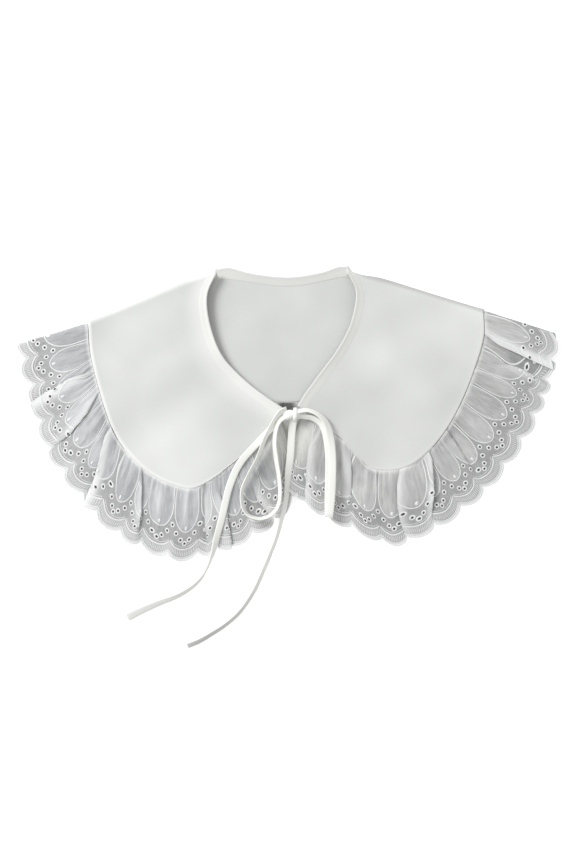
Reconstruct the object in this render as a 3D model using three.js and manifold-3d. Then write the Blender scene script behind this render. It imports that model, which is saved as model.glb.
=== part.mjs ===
// A detachable collar lying flat: a wide rounded panel folded at both shoulders, a tape round its neck edge,
// a gathered strip of eyelet lace along its outer edge, and a bow of flat tape at the centre front.
// Millimetres, +Z up, the surface it lies on at z = 0, the fronts towards -Y.
import * as THREE from 'three';
import { mergeVertices } from 'three/addons/utils/BufferGeometryUtils.js';
import Module from 'manifold-3d';

// Driving dimensions of the cloth
const NECK_WIDTH = 128;
const NECK_DROP = 124;
const BACK_NECK_Y = 128.5;
const PANEL_WIDTH = 120;
const PANEL_THICKNESS = 1.6;
const BINDING_WIDTH = 9;
const BINDING_THICKNESS = 2.2;
const LACE_WIDTH = 63;
const LACE_THICKNESS = 1;
const SEAM_GAP = 0.3;

// Heights of the two layers above the surface, and of the gathers in the lace
const FRONT_LIFT = 6.4;
const BACK_LACE_LIFT = 1.7;
const FRONT_WAVE = 2.3;
const BACK_WAVE = 1;

// The gathers swell and fade by GATHER_SPREAD about GATHER_SHARE of their height, from one scallop to the next
const GATHER_SHARE = 0.75;
const GATHER_SPREAD = 0.25;
const GATHER_TURN = 1.7;

// How soon the back lace rises off the surface, and how soon its gathers start beside a fold
const BACK_RISE = 3;
const BACK_FADE = 8;

// The scalloped edge and its eyelets. SCALLOP_HEEL is the share of the depth that lies inside the edge line.
const SCALLOP_PITCH = 24.3;
const SCALLOP_DEPTH = 6;
const SCALLOP_HEEL = 0.6;
const EYELET_RADIUS = 1.4;
const EYELET_SIDES = 5;
const EYELET_PLACES = [
  { along: 0.375, across: 0.79 },
  { along: 0.625, across: 0.79 },
];

// The tie tape and its knot. KNOT_DROP is from the front tip down to the middle of the knot.
const TAPE_WIDTH = 7.5;
const TAPE_THICKNESS = 1.5;
const KNOT_WIDTH = 14.4;
const KNOT_LENGTH = 11;
const KNOT_HEIGHT = 8.6;
const KNOT_X = 2.3;
const KNOT_DROP = 5.5;
const WRAP_WIDTH = 5;
const WRAP_RELIEF = 0.9;

// Steps of the faceted surfaces
const COLUMNS_PER_SCALLOP = 4;
const FOLD_ANGLES = [-90, -45, 0, 45, 90];
const BINDING_ROWS = [0, 0.5, 1];
const PANEL_ROWS = [0, 0.3, 0.65, 1];
const LACE_ROWS = [0, 0.4, 0.68, 1];

const degrees = THREE.MathUtils.degToRad;
const mix = THREE.MathUtils.lerp;

// The tables have one row for each section line from the neck edge to the lace edge. neckX and neckDown place
// its neck end as shares of NECK_WIDTH and NECK_DROP. heading and panel give the line across the panel, in
// degrees and as a share of PANEL_WIDTH, and laceHeading and lace do so for the lace, as a share of LACE_WIDTH.
// neckLift, seamLift and edgeLift are heights as shares of FRONT_LIFT, wave is a share of FRONT_WAVE, and tuck is
// how far the lace starts below the seam, as a share of FRONT_LIFT.
const BACK_COLUMNS = ['neckX', 'neckDown', 'heading', 'panel', 'laceHeading', 'lace'];
const FRONT_COLUMNS = [...BACK_COLUMNS, 'neckLift', 'seamLift', 'edgeLift', 'wave', 'tuck'];

function tableOf(columns, rows) {
  return rows.map((row) => Object.fromEntries(row.map((value, place) => [columns[place], value])));
}

const LEFT_FRONT = tableOf(FRONT_COLUMNS, [
  [-0.02, 1.01, 227, 0.07, 281, 1.19, 1.05, 1.05, 0.78, 0.1, 0.34],
  [-0.02, 1.01, 227, 0.45, 287, 1.1, 1.08, 1, 0.6, 0.7, 0],
  [-0.09, 0.965, 227, 0.85, 260, 1.04, 1.15, 1, 0.5, 1, 0],
  [-0.175, 0.905, 224, 0.96, 244, 0.98, 1.2, 1, 0.5, 1, 0],
  [-0.27, 0.83, 222, 1, 225, 0.97, 1.22, 1, 0.5, 1, 0],
  [-0.37, 0.735, 220, 1.01, 209, 0.93, 1.26, 1, 0.5, 1, 0],
  [-0.455, 0.635, 217, 1, 201, 0.95, 1.3, 1, 0.52, 0.9, 0],
  [-0.515, 0.51, 214, 0.98, 197, 0.97, 1.38, 1, 0.6, 0.8, 0],
  [-0.56, 0.34, 210, 0.965, 192, 0.96, 1.5, 1, 0.75, 0.5, 0],
  [-0.57, 0.19, 205.5, 0.97, 194, 0.98, 1.6, 1, 0.88, 0.25, 0],
  [-0.545, 0.045, 202, 0.99, 196, 1.02, 1.65, 1, 0.9, 0, 0],
]);
const BACK = tableOf(BACK_COLUMNS, [
  [-0.545, 0.045, 202, 0.99, 196, 1.02],
  [-0.35, 0.02, 226, 1.03, 240, 1.07],
  [0, 0.05, 270, 0.94, 270, 1.07],
  [0.3, 0.01, 315, 1, 301, 1.08],
  [0.455, 0.035, 343.5, 1.015, 343, 1.08],
]);
const RIGHT_FRONT = tableOf(FRONT_COLUMNS, [
  [0.455, 0.035, -16.5, 1.015, -17, 1.08, 1.5, 1, 0.9, 0, 0],
  [0.475, 0.18, -18.5, 1.005, -22, 1.06, 1.5, 1, 0.9, 0.25, 0],
  [0.44, 0.37, -22, 0.99, -22, 1.07, 1.4, 1, 0.8, 0.5, 0],
  [0.385, 0.5, -27.5, 1, -22, 1.05, 1.3, 1, 0.6, 0.8, 0],
  [0.32, 0.61, -33.5, 1.01, -28, 1.01, 1.25, 1, 0.5, 0.9, 0],
  [0.255, 0.7, -39, 1, -38, 0.97, 1.2, 1, 0.5, 1, 0],
  [0.2, 0.775, -44, 0.955, -49, 0.96, 1.2, 1, 0.5, 1, 0],
  [0.155, 0.84, -48, 0.85, -63, 1.03, 1.15, 1, 0.5, 1, 0],
  [0.115, 0.895, -49.5, 0.69, -75, 1.17, 1.12, 1, 0.52, 0.9, 0],
  [0.062, 0.985, -37, 0.325, -90, 1.25, 1.08, 1, 0.6, 0.6, 0],
  [0.062, 0.985, -37, 0.07, -95, 1.2, 1.05, 1.05, 0.78, 0.1, 0.34],
]);

// Value of one column at a share of the way down a table, on a smooth curve through its rows
function columnAt(table, name, share) {
  const place = THREE.MathUtils.clamp(share, 0, 1) * (table.length - 1);
  const row = Math.min(Math.floor(place), table.length - 2);
  const at = (index) => {
    if (index < 0) return 2 * at(0) - at(1);
    if (index >= table.length) return 2 * at(table.length - 1) - at(table.length - 2);
    return table[index][name];
  };
  const t = place - row;
  const [a, b, c, d] = [at(row - 1), at(row), at(row + 1), at(row + 2)];
  const square = (2 * a - 5 * b + 4 * c - d) * t * t;
  const cube = (3 * b - a - 3 * c + d) * t * t * t;
  return 0.5 * (2 * b + (c - a) * t + square + cube);
}

function heading(angle) {
  return new THREE.Vector2(Math.cos(degrees(angle)), Math.sin(degrees(angle)));
}

function turned(direction, angle) {
  return direction.clone().rotateAround(new THREE.Vector2(), degrees(angle));
}

// Share of a front's table at which its front edge runs: its first section line from the tip
function frontEdge(table) {
  const row = 1 / (table.length - 1);
  return table === LEFT_FRONT ? row : 1 - row;
}

// Where a section line starts at the neck edge, and how it crosses the panel. Nearer the tip than the front
// edge, only its length changes, so that the lace follows that straight edge up to the tip.
function panelLine(table, share) {
  const limit = table === LEFT_FRONT ? Math.max : Math.min;
  const kept = table === BACK ? share : limit(share, frontEdge(table));
  const value = (name) => columnAt(table, name, name === 'panel' ? share : kept);
  return {
    neck: new THREE.Vector2(value('neckX') * NECK_WIDTH, BACK_NECK_Y - value('neckDown') * NECK_DROP),
    across: heading(value('heading')),
    length: value('panel') * PANEL_WIDTH,
  };
}

function panelEnd(table, share) {
  const { neck, across, length } = panelLine(table, share);
  return neck.clone().addScaledVector(across, length);
}

// Start of the lace: beside the outer edge of the panel, a seam gap away square to that edge
function seamPoint(table, share) {
  const step = 0.005;
  const along = panelEnd(table, Math.min(1, share + step)).sub(panelEnd(table, Math.max(0, share - step)));
  const outward = turned(along.normalize(), table === BACK ? -90 : 90);
  return panelEnd(table, share).addScaledVector(outward, SEAM_GAP);
}

// Section line of a stretch of cloth at a share of its table: the plan points and the heights along it
function sectionLine(table, share) {
  const value = (name) => columnAt(table, name, share);
  const line = {
    ...panelLine(table, share),
    seam: seamPoint(table, share),
    laceAcross: heading(value('laceHeading')),
    laceLength: value('lace') * LACE_WIDTH,
    front: table !== BACK,
  };
  if (line.front) {
    line.neckLift = value('neckLift') * FRONT_LIFT;
    line.seamLift = value('seamLift') * FRONT_LIFT;
    line.laceLift = (value('seamLift') - value('tuck')) * FRONT_LIFT;
    line.edgeLift = value('edgeLift') * FRONT_LIFT;
    line.wave = value('wave') * FRONT_WAVE;
  } else {
    line.wave = BACK_WAVE * Math.min(1, BACK_FADE * share, BACK_FADE * (1 - share));
  }
  return line;
}

// Middle surface of the panel, at a distance from the neck edge, for a sheet of the given thickness
function panelPoint(line, distance, thickness) {
  const plan = line.neck.clone().addScaledVector(line.across, distance);
  const share = Math.min(1, distance / line.length);
  const ease = share * (2 - share);
  const height = line.front ? mix(line.neckLift, line.seamLift, ease) : thickness / 2;
  return new THREE.Vector3(plan.x, plan.y, height);
}

// Middle surface of the lace, at a share of its width from the seam, with the gathers as waves along it
function lacePoint(line, share, scallop) {
  const plan = line.seam.clone().addScaledVector(line.laceAcross, share * line.laceLength);
  const base = line.front
    ? mix(line.laceLift, line.edgeLift, Math.min(1, share * share))
    : mix(PANEL_THICKNESS / 2, BACK_LACE_LIFT, Math.min(1, BACK_RISE * share));
  const swell = GATHER_SHARE + GATHER_SPREAD * Math.sin(GATHER_TURN * scallop);
  const wave = line.wave * share * swell * Math.cos(2 * Math.PI * scallop);
  return new THREE.Vector3(plan.x, plan.y, base + wave);
}

// Point on the turn of a shoulder fold, from the back layer below (-90 degrees) to the front layer above (90)
function foldPoint(below, above, outward, angle) {
  const radius = (above.z - below.z) / 2;
  const reach = radius * Math.cos(degrees(angle));
  return new THREE.Vector3(
    below.x + outward.x * reach,
    below.y + outward.y * reach,
    below.z + radius * (1 + Math.sin(degrees(angle))),
  );
}

// The five stretches of cloth, from the left front tip round the back to the right front tip
const leftFold = { below: sectionLine(BACK, 0), above: sectionLine(LEFT_FRONT, 1), turn: -90, rising: true };
const rightFold = { below: sectionLine(BACK, 1), above: sectionLine(RIGHT_FRONT, 0), turn: 90, rising: false };

function foldColumn(fold, angle, pointOf) {
  const outward = turned(fold.below.across, fold.turn);
  return (place) => foldPoint(pointOf(fold.below, place), pointOf(fold.above, place), outward, angle);
}

// Shares of a table at equal steps along the lace edge, a whole number of scallops from end to end
function scallopShares(table) {
  const fine = 200;
  const edge = Array.from({ length: fine + 1 }, (_, index) => {
    const line = sectionLine(table, index / fine);
    return lacePoint({ ...line, wave: 0 }, 1, 0);
  });
  const run = [0];
  for (let index = 1; index <= fine; index += 1) {
    run.push(run[index - 1] + edge[index].distanceTo(edge[index - 1]));
  }
  const scallops = Math.max(3, Math.round(run[fine] / SCALLOP_PITCH));
  const steps = scallops * COLUMNS_PER_SCALLOP;
  const shares = [];
  let index = 0;
  for (let step = 0; step <= steps; step += 1) {
    const wanted = (run[fine] * step) / steps;
    while (index < fine - 1 && run[index + 1] < wanted) index += 1;
    const part = (wanted - run[index]) / (run[index + 1] - run[index]);
    shares.push({ share: (index + part) / fine, scallop: step / COLUMNS_PER_SCALLOP });
  }
  return shares;
}

// The panel and the tape have a column at each front edge and one for each scallop. The lace has more, and its
// seam runs straight between the columns that the panel has.
function markKeys(table, shares) {
  const whole = (index) => index % COLUMNS_PER_SCALLOP === 0;
  if (table === BACK) return shares.map((entry, index) => ({ ...entry, key: whole(index) }));
  const edge = frontEdge(table);
  const distances = shares.map(({ share }) => Math.abs(share - edge));
  const nearest = distances.indexOf(Math.min(...distances));
  const tipSide = (index) => (table === LEFT_FRONT ? index < nearest : index > nearest);
  return shares.map((entry, index) => ({
    ...entry,
    share: index === nearest ? edge : entry.share,
    beyond: tipSide(index),
    key: index === nearest || tipSide(index) || whole(index),
  }));
}

const scallops = {
  left: markKeys(LEFT_FRONT, scallopShares(LEFT_FRONT)),
  back: markKeys(BACK, scallopShares(BACK)),
  right: markKeys(RIGHT_FRONT, scallopShares(RIGHT_FRONT)),
};

function laceLines(table, shares) {
  const lines = shares.map(({ share }) => sectionLine(table, share));
  return lines.map((line, index) => {
    if (shares[index].key) return line;
    const before = shares.findLastIndex((entry, place) => entry.key && place < index);
    const after = shares.findIndex((entry, place) => entry.key && place > index);
    const part = (index - before) / (after - before);
    return {
      ...line,
      seam: lines[before].seam.clone().lerp(lines[after].seam, part),
      laceLift: line.front ? mix(lines[before].laceLift, lines[after].laceLift, part) : undefined,
    };
  });
}

// Columns of a surface: each is a function from a place across the cloth to a point of its middle surface
function surfaceColumns(pointOf, stretches) {
  const lines = (stretch) => stretch.map(({ line, scallop }) => (place) => pointOf(line, place, scallop));
  const turn = (fold) => {
    const angles = FOLD_ANGLES.slice(1, -1).map((angle) => (fold.rising ? -angle : angle));
    return angles.map((angle) => foldColumn(fold, angle, pointOf));
  };
  return [
    ...lines(stretches.left),
    ...turn(leftFold),
    ...lines(stretches.back),
    ...turn(rightFold),
    ...lines(stretches.right),
  ];
}

function keyStretches() {
  const lines = (table, shares) => shares.filter(({ key, beyond }) => key && !beyond).map(({ share }) => (
    { line: sectionLine(table, share) }
  ));
  return {
    left: lines(LEFT_FRONT, scallops.left),
    back: lines(BACK, scallops.back),
    right: lines(RIGHT_FRONT, scallops.right),
  };
}

// Closed sheet of the given thickness about a grid of middle points, offset along the surface normals
function sheetGeometry(grid, thickness) {
  const columns = grid.length;
  const rows = grid[0].length;
  const normalAt = (column, row) => {
    const next = grid[Math.min(column + 1, columns - 1)][row];
    const last = grid[Math.max(column - 1, 0)][row];
    const further = grid[column][Math.min(row + 1, rows - 1)];
    const nearer = grid[column][Math.max(row - 1, 0)];
    return next.clone().sub(last).cross(further.clone().sub(nearer)).normalize();
  };
  const positions = [];
  for (const side of [1, -1]) {
    for (let column = 0; column < columns; column += 1) {
      for (let row = 0; row < rows; row += 1) {
        const point = grid[column][row].clone().addScaledVector(normalAt(column, row), (side * thickness) / 2);
        positions.push(point.x, point.y, point.z);
      }
    }
  }
  const layer = columns * rows;
  const vertex = (column, row, under) => column * rows + row + (under ? layer : 0);
  const index = [];
  const quad = (a, b, c, d) => index.push(a, b, c, a, c, d);
  for (let column = 0; column < columns - 1; column += 1) {
    for (let row = 0; row < rows - 1; row += 1) {
      quad(vertex(column, row), vertex(column + 1, row), vertex(column + 1, row + 1), vertex(column, row + 1));
      quad(
        vertex(column, row, true),
        vertex(column, row + 1, true),
        vertex(column + 1, row + 1, true),
        vertex(column + 1, row, true),
      );
    }
    quad(vertex(column, 0), vertex(column, 0, true), vertex(column + 1, 0, true), vertex(column + 1, 0));
    const last = rows - 1;
    quad(
      vertex(column, last),
      vertex(column + 1, last),
      vertex(column + 1, last, true),
      vertex(column, last, true),
    );
  }
  for (let row = 0; row < rows - 1; row += 1) {
    quad(vertex(0, row), vertex(0, row + 1), vertex(0, row + 1, true), vertex(0, row, true));
    const end = columns - 1;
    quad(vertex(end, row), vertex(end, row, true), vertex(end, row + 1, true), vertex(end, row + 1));
  }
  const geometry = new THREE.BufferGeometry();
  geometry.setAttribute('position', new THREE.Float32BufferAttribute(positions, 3));
  geometry.setIndex(index);
  return geometry;
}

const wasm = await Module();
wasm.setup();

function solidOf(geometry) {
  const bare = geometry.clone();
  bare.deleteAttribute('normal');
  bare.deleteAttribute('uv');
  const merged = mergeVertices(bare, 1e-4);
  return new wasm.Manifold(new wasm.Mesh({
    numProp: 3,
    vertProperties: Float32Array.from(merged.attributes.position.array),
    triVerts: Uint32Array.from(merged.index.array),
  }));
}

function geometryOf(solid) {
  const mesh = solid.getMesh();
  const geometry = new THREE.BufferGeometry();
  geometry.setAttribute('position', new THREE.Float32BufferAttribute(mesh.vertProperties, 3));
  geometry.setIndex(Array.from(mesh.triVerts));
  return geometry;
}

function finish(name, color, roughness) {
  return new THREE.MeshStandardMaterial({ name, color, roughness, metalness: 0 });
}

const panelCloth = finish('panel_cloth', 0xeeeeec, 0.8);
const tapeCloth = finish('tape_cloth', 0xeeeee4, 0.75);
const laceCloth = finish('lace_cloth', 0xe2e4e4, 0.85);

function piece(name, geometry, material) {
  const mesh = new THREE.Mesh(geometry, material);
  mesh.name = name;
  return mesh;
}

function collarPanel() {
  const pointOf = (line, place) => {
    const start = BINDING_WIDTH + SEAM_GAP;
    return panelPoint(line, mix(start, line.length, place), PANEL_THICKNESS);
  };
  const columns = surfaceColumns(pointOf, keyStretches());
  const grid = columns.map((column) => PANEL_ROWS.map((place) => column(place)));
  return piece('collar_panel', sheetGeometry(grid, PANEL_THICKNESS), panelCloth);
}

function neckBinding() {
  const pointOf = (line, place) => panelPoint(line, place * BINDING_WIDTH, BINDING_THICKNESS);
  const columns = surfaceColumns(pointOf, keyStretches());
  const grid = columns.map((column) => BINDING_ROWS.map((place) => column(place)));
  return piece('neck_binding', sheetGeometry(grid, BINDING_THICKNESS), tapeCloth);
}

function scallopReach(scallop) {
  const within = scallop - Math.floor(scallop);
  return SCALLOP_DEPTH * (Math.sqrt(Math.max(0, 1 - (2 * within - 1) ** 2)) - SCALLOP_HEEL);
}

function laceStrip() {
  const lines = (table, shares) => laceLines(table, shares).map((line, index) => (
    { line, scallop: shares[index].scallop }
  ));
  const stretches = {
    left: lines(LEFT_FRONT, scallops.left),
    back: lines(BACK, scallops.back),
    right: lines(RIGHT_FRONT, scallops.right),
  };
  const pointOf = (line, place, scallop = 0) => {
    const edge = 1 + scallopReach(scallop) / line.laceLength;
    return lacePoint(line, place * edge, scallop);
  };
  const columns = surfaceColumns(pointOf, stretches);
  return columns.map((column) => LACE_ROWS.map((place) => column(place)));
}

// A short cutter with few sides through the lace at one eyelet, square to the cloth there
function eyeletCutter(point, normal) {
  const cutter = new THREE.CylinderGeometry(EYELET_RADIUS, EYELET_RADIUS, LACE_THICKNESS * 2, EYELET_SIDES);
  const turn = new THREE.Quaternion().setFromUnitVectors(new THREE.Vector3(0, 1, 0), normal);
  cutter.applyQuaternion(turn);
  cutter.translate(point.x, point.y, point.z);
  return solidOf(cutter);
}

function laceRuffle() {
  const grid = laceStrip();
  const cutters = [];
  const turns = FOLD_ANGLES.length - 2;
  let first = 0;
  for (const shares of Object.values(scallops)) {
    const steps = shares.length - 1;
    for (let column = first; column < first + steps; column += COLUMNS_PER_SCALLOP) {
      for (const { along, across } of EYELET_PLACES) {
        const place = column + along * COLUMNS_PER_SCALLOP;
        const low = Math.floor(place);
        const row = LACE_ROWS.findLastIndex((share) => share <= across - 0.01);
        const part = (across - LACE_ROWS[row]) / (LACE_ROWS[row + 1] - LACE_ROWS[row]);
        const near = grid[low][row].clone().lerp(grid[low][row + 1], part);
        const far = grid[low + 1][row].clone().lerp(grid[low + 1][row + 1], part);
        const outward = grid[low][row + 1].clone().sub(grid[low][row]);
        const normal = far.clone().sub(near).cross(outward).normalize();
        cutters.push(eyeletCutter(near.lerp(far, place - low), normal));
      }
    }
    first += steps + turns + 1;
  }
  const solid = solidOf(sheetGeometry(grid, LACE_THICKNESS)).subtract(wasm.Manifold.union(cutters));
  return piece('lace_ruffle', geometryOf(solid), laceCloth);
}

// The knot lies on both neck tips: a flat core of tape with one turn of tape wrapped round it
const tipY = BACK_NECK_Y - NECK_DROP;
const knotFloor = LEFT_FRONT[0].neckLift * FRONT_LIFT + BINDING_THICKNESS / 2 + SEAM_GAP;

function bevelledBlock(width, length, height) {
  const bevel = Math.min(width, height) / 5;
  const outline = new THREE.Shape();
  const [x, z] = [width / 2, height / 2];
  outline.moveTo(-x + bevel, -z);
  outline.lineTo(x - bevel, -z);
  outline.lineTo(x, -z + bevel);
  outline.lineTo(x, z - bevel);
  outline.lineTo(x - bevel, z);
  outline.lineTo(-x + bevel, z);
  outline.lineTo(-x, z - bevel);
  outline.lineTo(-x, -z + bevel);
  outline.closePath();
  const block = new THREE.ExtrudeGeometry(outline, { depth: length, bevelEnabled: false });
  block.translate(0, 0, -length / 2);
  block.rotateX(Math.PI / 2);
  return block;
}

function bowKnot() {
  const core = bevelledBlock(KNOT_WIDTH, KNOT_LENGTH, KNOT_HEIGHT - WRAP_RELIEF);
  const wrap = bevelledBlock(WRAP_WIDTH, KNOT_LENGTH + 2 * WRAP_RELIEF, KNOT_HEIGHT);
  wrap.translate(0, 0, WRAP_RELIEF / 2);
  const solid = solidOf(core).add(solidOf(wrap));
  const knot = piece('bow_knot', geometryOf(solid), tapeCloth);
  knot.position.set(KNOT_X, tipY - KNOT_DROP, knotFloor + (KNOT_HEIGHT - WRAP_RELIEF) / 2);
  return knot;
}

// Flat tape along a route, with a section of eight sides; upright tape stands on its edge
function tapeAlong(name, route, steps, upright) {
  const [half, edge] = [TAPE_WIDTH / 2, TAPE_THICKNESS / 2];
  const round = edge / 2;
  const corners = [
    [edge, -half + round], [edge, half - round], [round, half], [-round, half],
    [-edge, half - round], [-edge, -half + round], [-round, -half], [round, -half],
  ];
  const section = new THREE.Shape(corners.map(([x, y]) => new THREE.Vector2(upright ? y : x, upright ? x : y)));
  const curve = new THREE.CatmullRomCurve3(route.map(([x, y, z]) => new THREE.Vector3(x, tipY + y, z)));
  const tape = new THREE.ExtrudeGeometry(section, { steps, extrudePath: curve });
  return piece(name, tape, tapeCloth);
}

// Routes of the tape, each a few points chosen by hand along its middle line, from the knot outwards, with y
// measured from the front tip
const LEFT_TAIL = [
  [-7.8, -10.3, 9.4], [-16, -19, 8.8], [-27, -30.5, 8.6], [-43.5, -49.5, 8.6], [-53, -70.5, 8.4],
  [-59, -95.5, 8.2], [-64.5, -116.5, 8], [-68.5, -132.5, 7.4], [-73, -143.5, 3.8], [-79, -153.5, 1.6],
  [-88, -162, 1.3], [-101, -169.5, 1.2], [-117, -175.5, 1.2], [-133, -182.5, 1.2], [-145, -188.5, 1.2],
];
const RIGHT_TAIL = [
  [3.6, -13.1, 9], [2.8, -24.5, 8.4], [1.8, -42.5, 8.2], [-0.5, -61.5, 8.2], [-2, -80.5, 8.2],
  [-6, -98.5, 8], [-11, -117.5, 6.4], [-16, -130.5, 2.4], [-22, -144.5, 1.1], [-31, -164.5, 1],
  [-43, -182.5, 1], [-56, -194.5, 1], [-69, -203, 1], [-80, -209.5, 1], [-91, -214, 1],
];
const LEFT_LOOP = [
  [-6.4, -2.5, 14.2], [-10.5, -9, 14.2], [-16.5, -18.5, 14], [-21.5, -28.5, 13.8], [-27.5, -44.5, 12.6],
  [-36, -60.5, 12], [-41.3, -73.5, 12], [-41.3, -86.5, 12], [-36.5, -95.5, 12], [-26, -99, 12],
  [-15.5, -95.5, 12], [-9.4, -87.5, 12], [-7.6, -76.5, 12], [-8.6, -61.5, 12.4], [-11, -46.5, 13.2],
  [-12.6, -31.5, 13.8], [-11.5, -18.5, 14.1], [-8.5, -12.5, 14.2],
];
const RIGHT_LOOP = [
  [10.4, -2.9, 14.4], [18, -2.3, 14.2], [26.5, -6, 13.8], [33, -12.5, 13.4], [36.5, -21.5, 13],
  [38.5, -34.5, 12.8], [39.3, -48.5, 12.8], [39, -66.5, 12.8], [38, -82.5, 12.8], [36.6, -95.1, 12.6],
  [36.3, -96.9, 10.8], [36, -95.1, 9], [35.6, -82.5, 8.9], [35.8, -66.5, 8.9], [36, -48.5, 8.9],
  [35, -34.5, 9.2], [32.5, -21.5, 9.6], [28.5, -14, 9.9], [21, -9.1, 10], [10.6, -8.1, 10],
];

const collar = new THREE.Group();
collar.add(
  collarPanel(),
  neckBinding(),
  laceRuffle(),
  bowKnot(),
  tapeAlong('left_tail', LEFT_TAIL, 13, false),
  tapeAlong('right_tail', RIGHT_TAIL, 13, false),
  tapeAlong('left_loop', LEFT_LOOP, 18, true),
  tapeAlong('right_loop', RIGHT_LOOP, 35, false),
);

export default collar;
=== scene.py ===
# %% [markdown]
# This lesson dresses a detachable collar: a wide rounded collar of white cloth folded at both shoulders,
# a tape round its neck, a gathered strip of eyelet lace along its outer edge and a bow of narrow tape.
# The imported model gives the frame. Every piece made here lies where its solid lies, in metres, with the
# surface it rests on at z = 0 and the two fronts towards -Y.

# %% Load the frame
import math
from collections import namedtuple

import bpy
import numpy as np
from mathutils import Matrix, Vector
from mathutils.geometry import delaunay_2d_cdt


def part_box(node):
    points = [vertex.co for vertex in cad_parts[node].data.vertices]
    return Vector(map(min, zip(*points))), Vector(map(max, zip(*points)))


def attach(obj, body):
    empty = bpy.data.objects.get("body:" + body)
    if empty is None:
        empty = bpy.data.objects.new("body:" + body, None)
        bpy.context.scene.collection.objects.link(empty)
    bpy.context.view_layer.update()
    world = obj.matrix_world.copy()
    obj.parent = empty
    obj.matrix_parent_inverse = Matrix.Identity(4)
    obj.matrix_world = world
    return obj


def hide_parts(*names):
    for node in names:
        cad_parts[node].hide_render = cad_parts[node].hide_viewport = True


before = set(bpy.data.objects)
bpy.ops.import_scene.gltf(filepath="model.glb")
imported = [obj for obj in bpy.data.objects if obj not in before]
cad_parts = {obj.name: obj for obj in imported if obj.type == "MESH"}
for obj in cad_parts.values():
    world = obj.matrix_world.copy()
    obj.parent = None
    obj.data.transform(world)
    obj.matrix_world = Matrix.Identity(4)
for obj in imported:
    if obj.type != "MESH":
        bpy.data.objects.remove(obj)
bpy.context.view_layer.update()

scene = bpy.context.scene
MM = 0.001
print("nodes", sorted(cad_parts))

# %% [markdown]
# The collar was photographed from straight above. A long lens high over the surface gives that flat view, and
# one photograph pixel is 0.9 mm of cloth.

# %% Camera
PHOTO_SIZE = (576, 864)
PIXEL = 0.9 * MM
LENS = 85
SENSOR = 36
VIEW_MIDDLE = (-0.45, -17.1)

camera_data = bpy.data.cameras.new("camera")
camera_data.lens = LENS
camera_data.sensor_width = SENSOR
camera_data.dof.use_dof = False
camera = bpy.data.objects.new("camera", camera_data)
view_height = PHOTO_SIZE[1] * PIXEL * LENS / SENSOR
camera.location = (VIEW_MIDDLE[0] * MM, VIEW_MIDDLE[1] * MM, view_height)
scene.collection.objects.link(camera)
scene.camera = camera
scene.view_settings.view_transform = "Standard"
print("camera height", round(camera.location.z, 3))

# %% [markdown]
# Shader sums read best as sums. A small class wraps a socket, so that an expression such as
# 1 - mask * 0.3 adds the Math nodes, and one method of the finish adds any other node.


# %% Shader helpers
class Signal:
    """A socket of a material's nodes that can be used in an expression."""

    def __init__(self, finish, socket):
        self.finish = finish
        self.socket = socket

    def math(self, operation, *values):
        inputs = dict(enumerate(values))
        return self.finish.node("ShaderNodeMath", {"operation": operation}, inputs)[0]

    def __add__(self, other):
        return self.math("ADD", self, other)

    def __sub__(self, other):
        return self.math("SUBTRACT", self, other)

    def __rsub__(self, other):
        return self.math("SUBTRACT", other, self)

    def __mul__(self, other):
        return self.math("MULTIPLY", self, other)

    def __truediv__(self, other):
        return self.math("DIVIDE", self, other)

    def sine(self):
        return self.math("SINE", self)

    def absolute(self):
        return self.math("ABSOLUTE", self)

    def fraction(self):
        return self.math("FRACT", self)

    def root(self):
        return self.math("SQRT", self)

    def at_least(self, value):
        return self.math("MAXIMUM", self, value)

    def at_most(self, value):
        return self.math("MINIMUM", self, value)

    def above(self, edge, soft):
        """0 below the edge and 1 above it, with a soft step between."""
        settings = {"interpolation_type": "SMOOTHSTEP"}
        inputs = {"Value": self, "From Min": edge - soft, "From Max": edge + soft}
        return self.finish.node("ShaderNodeMapRange", settings, inputs)[0]


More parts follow.
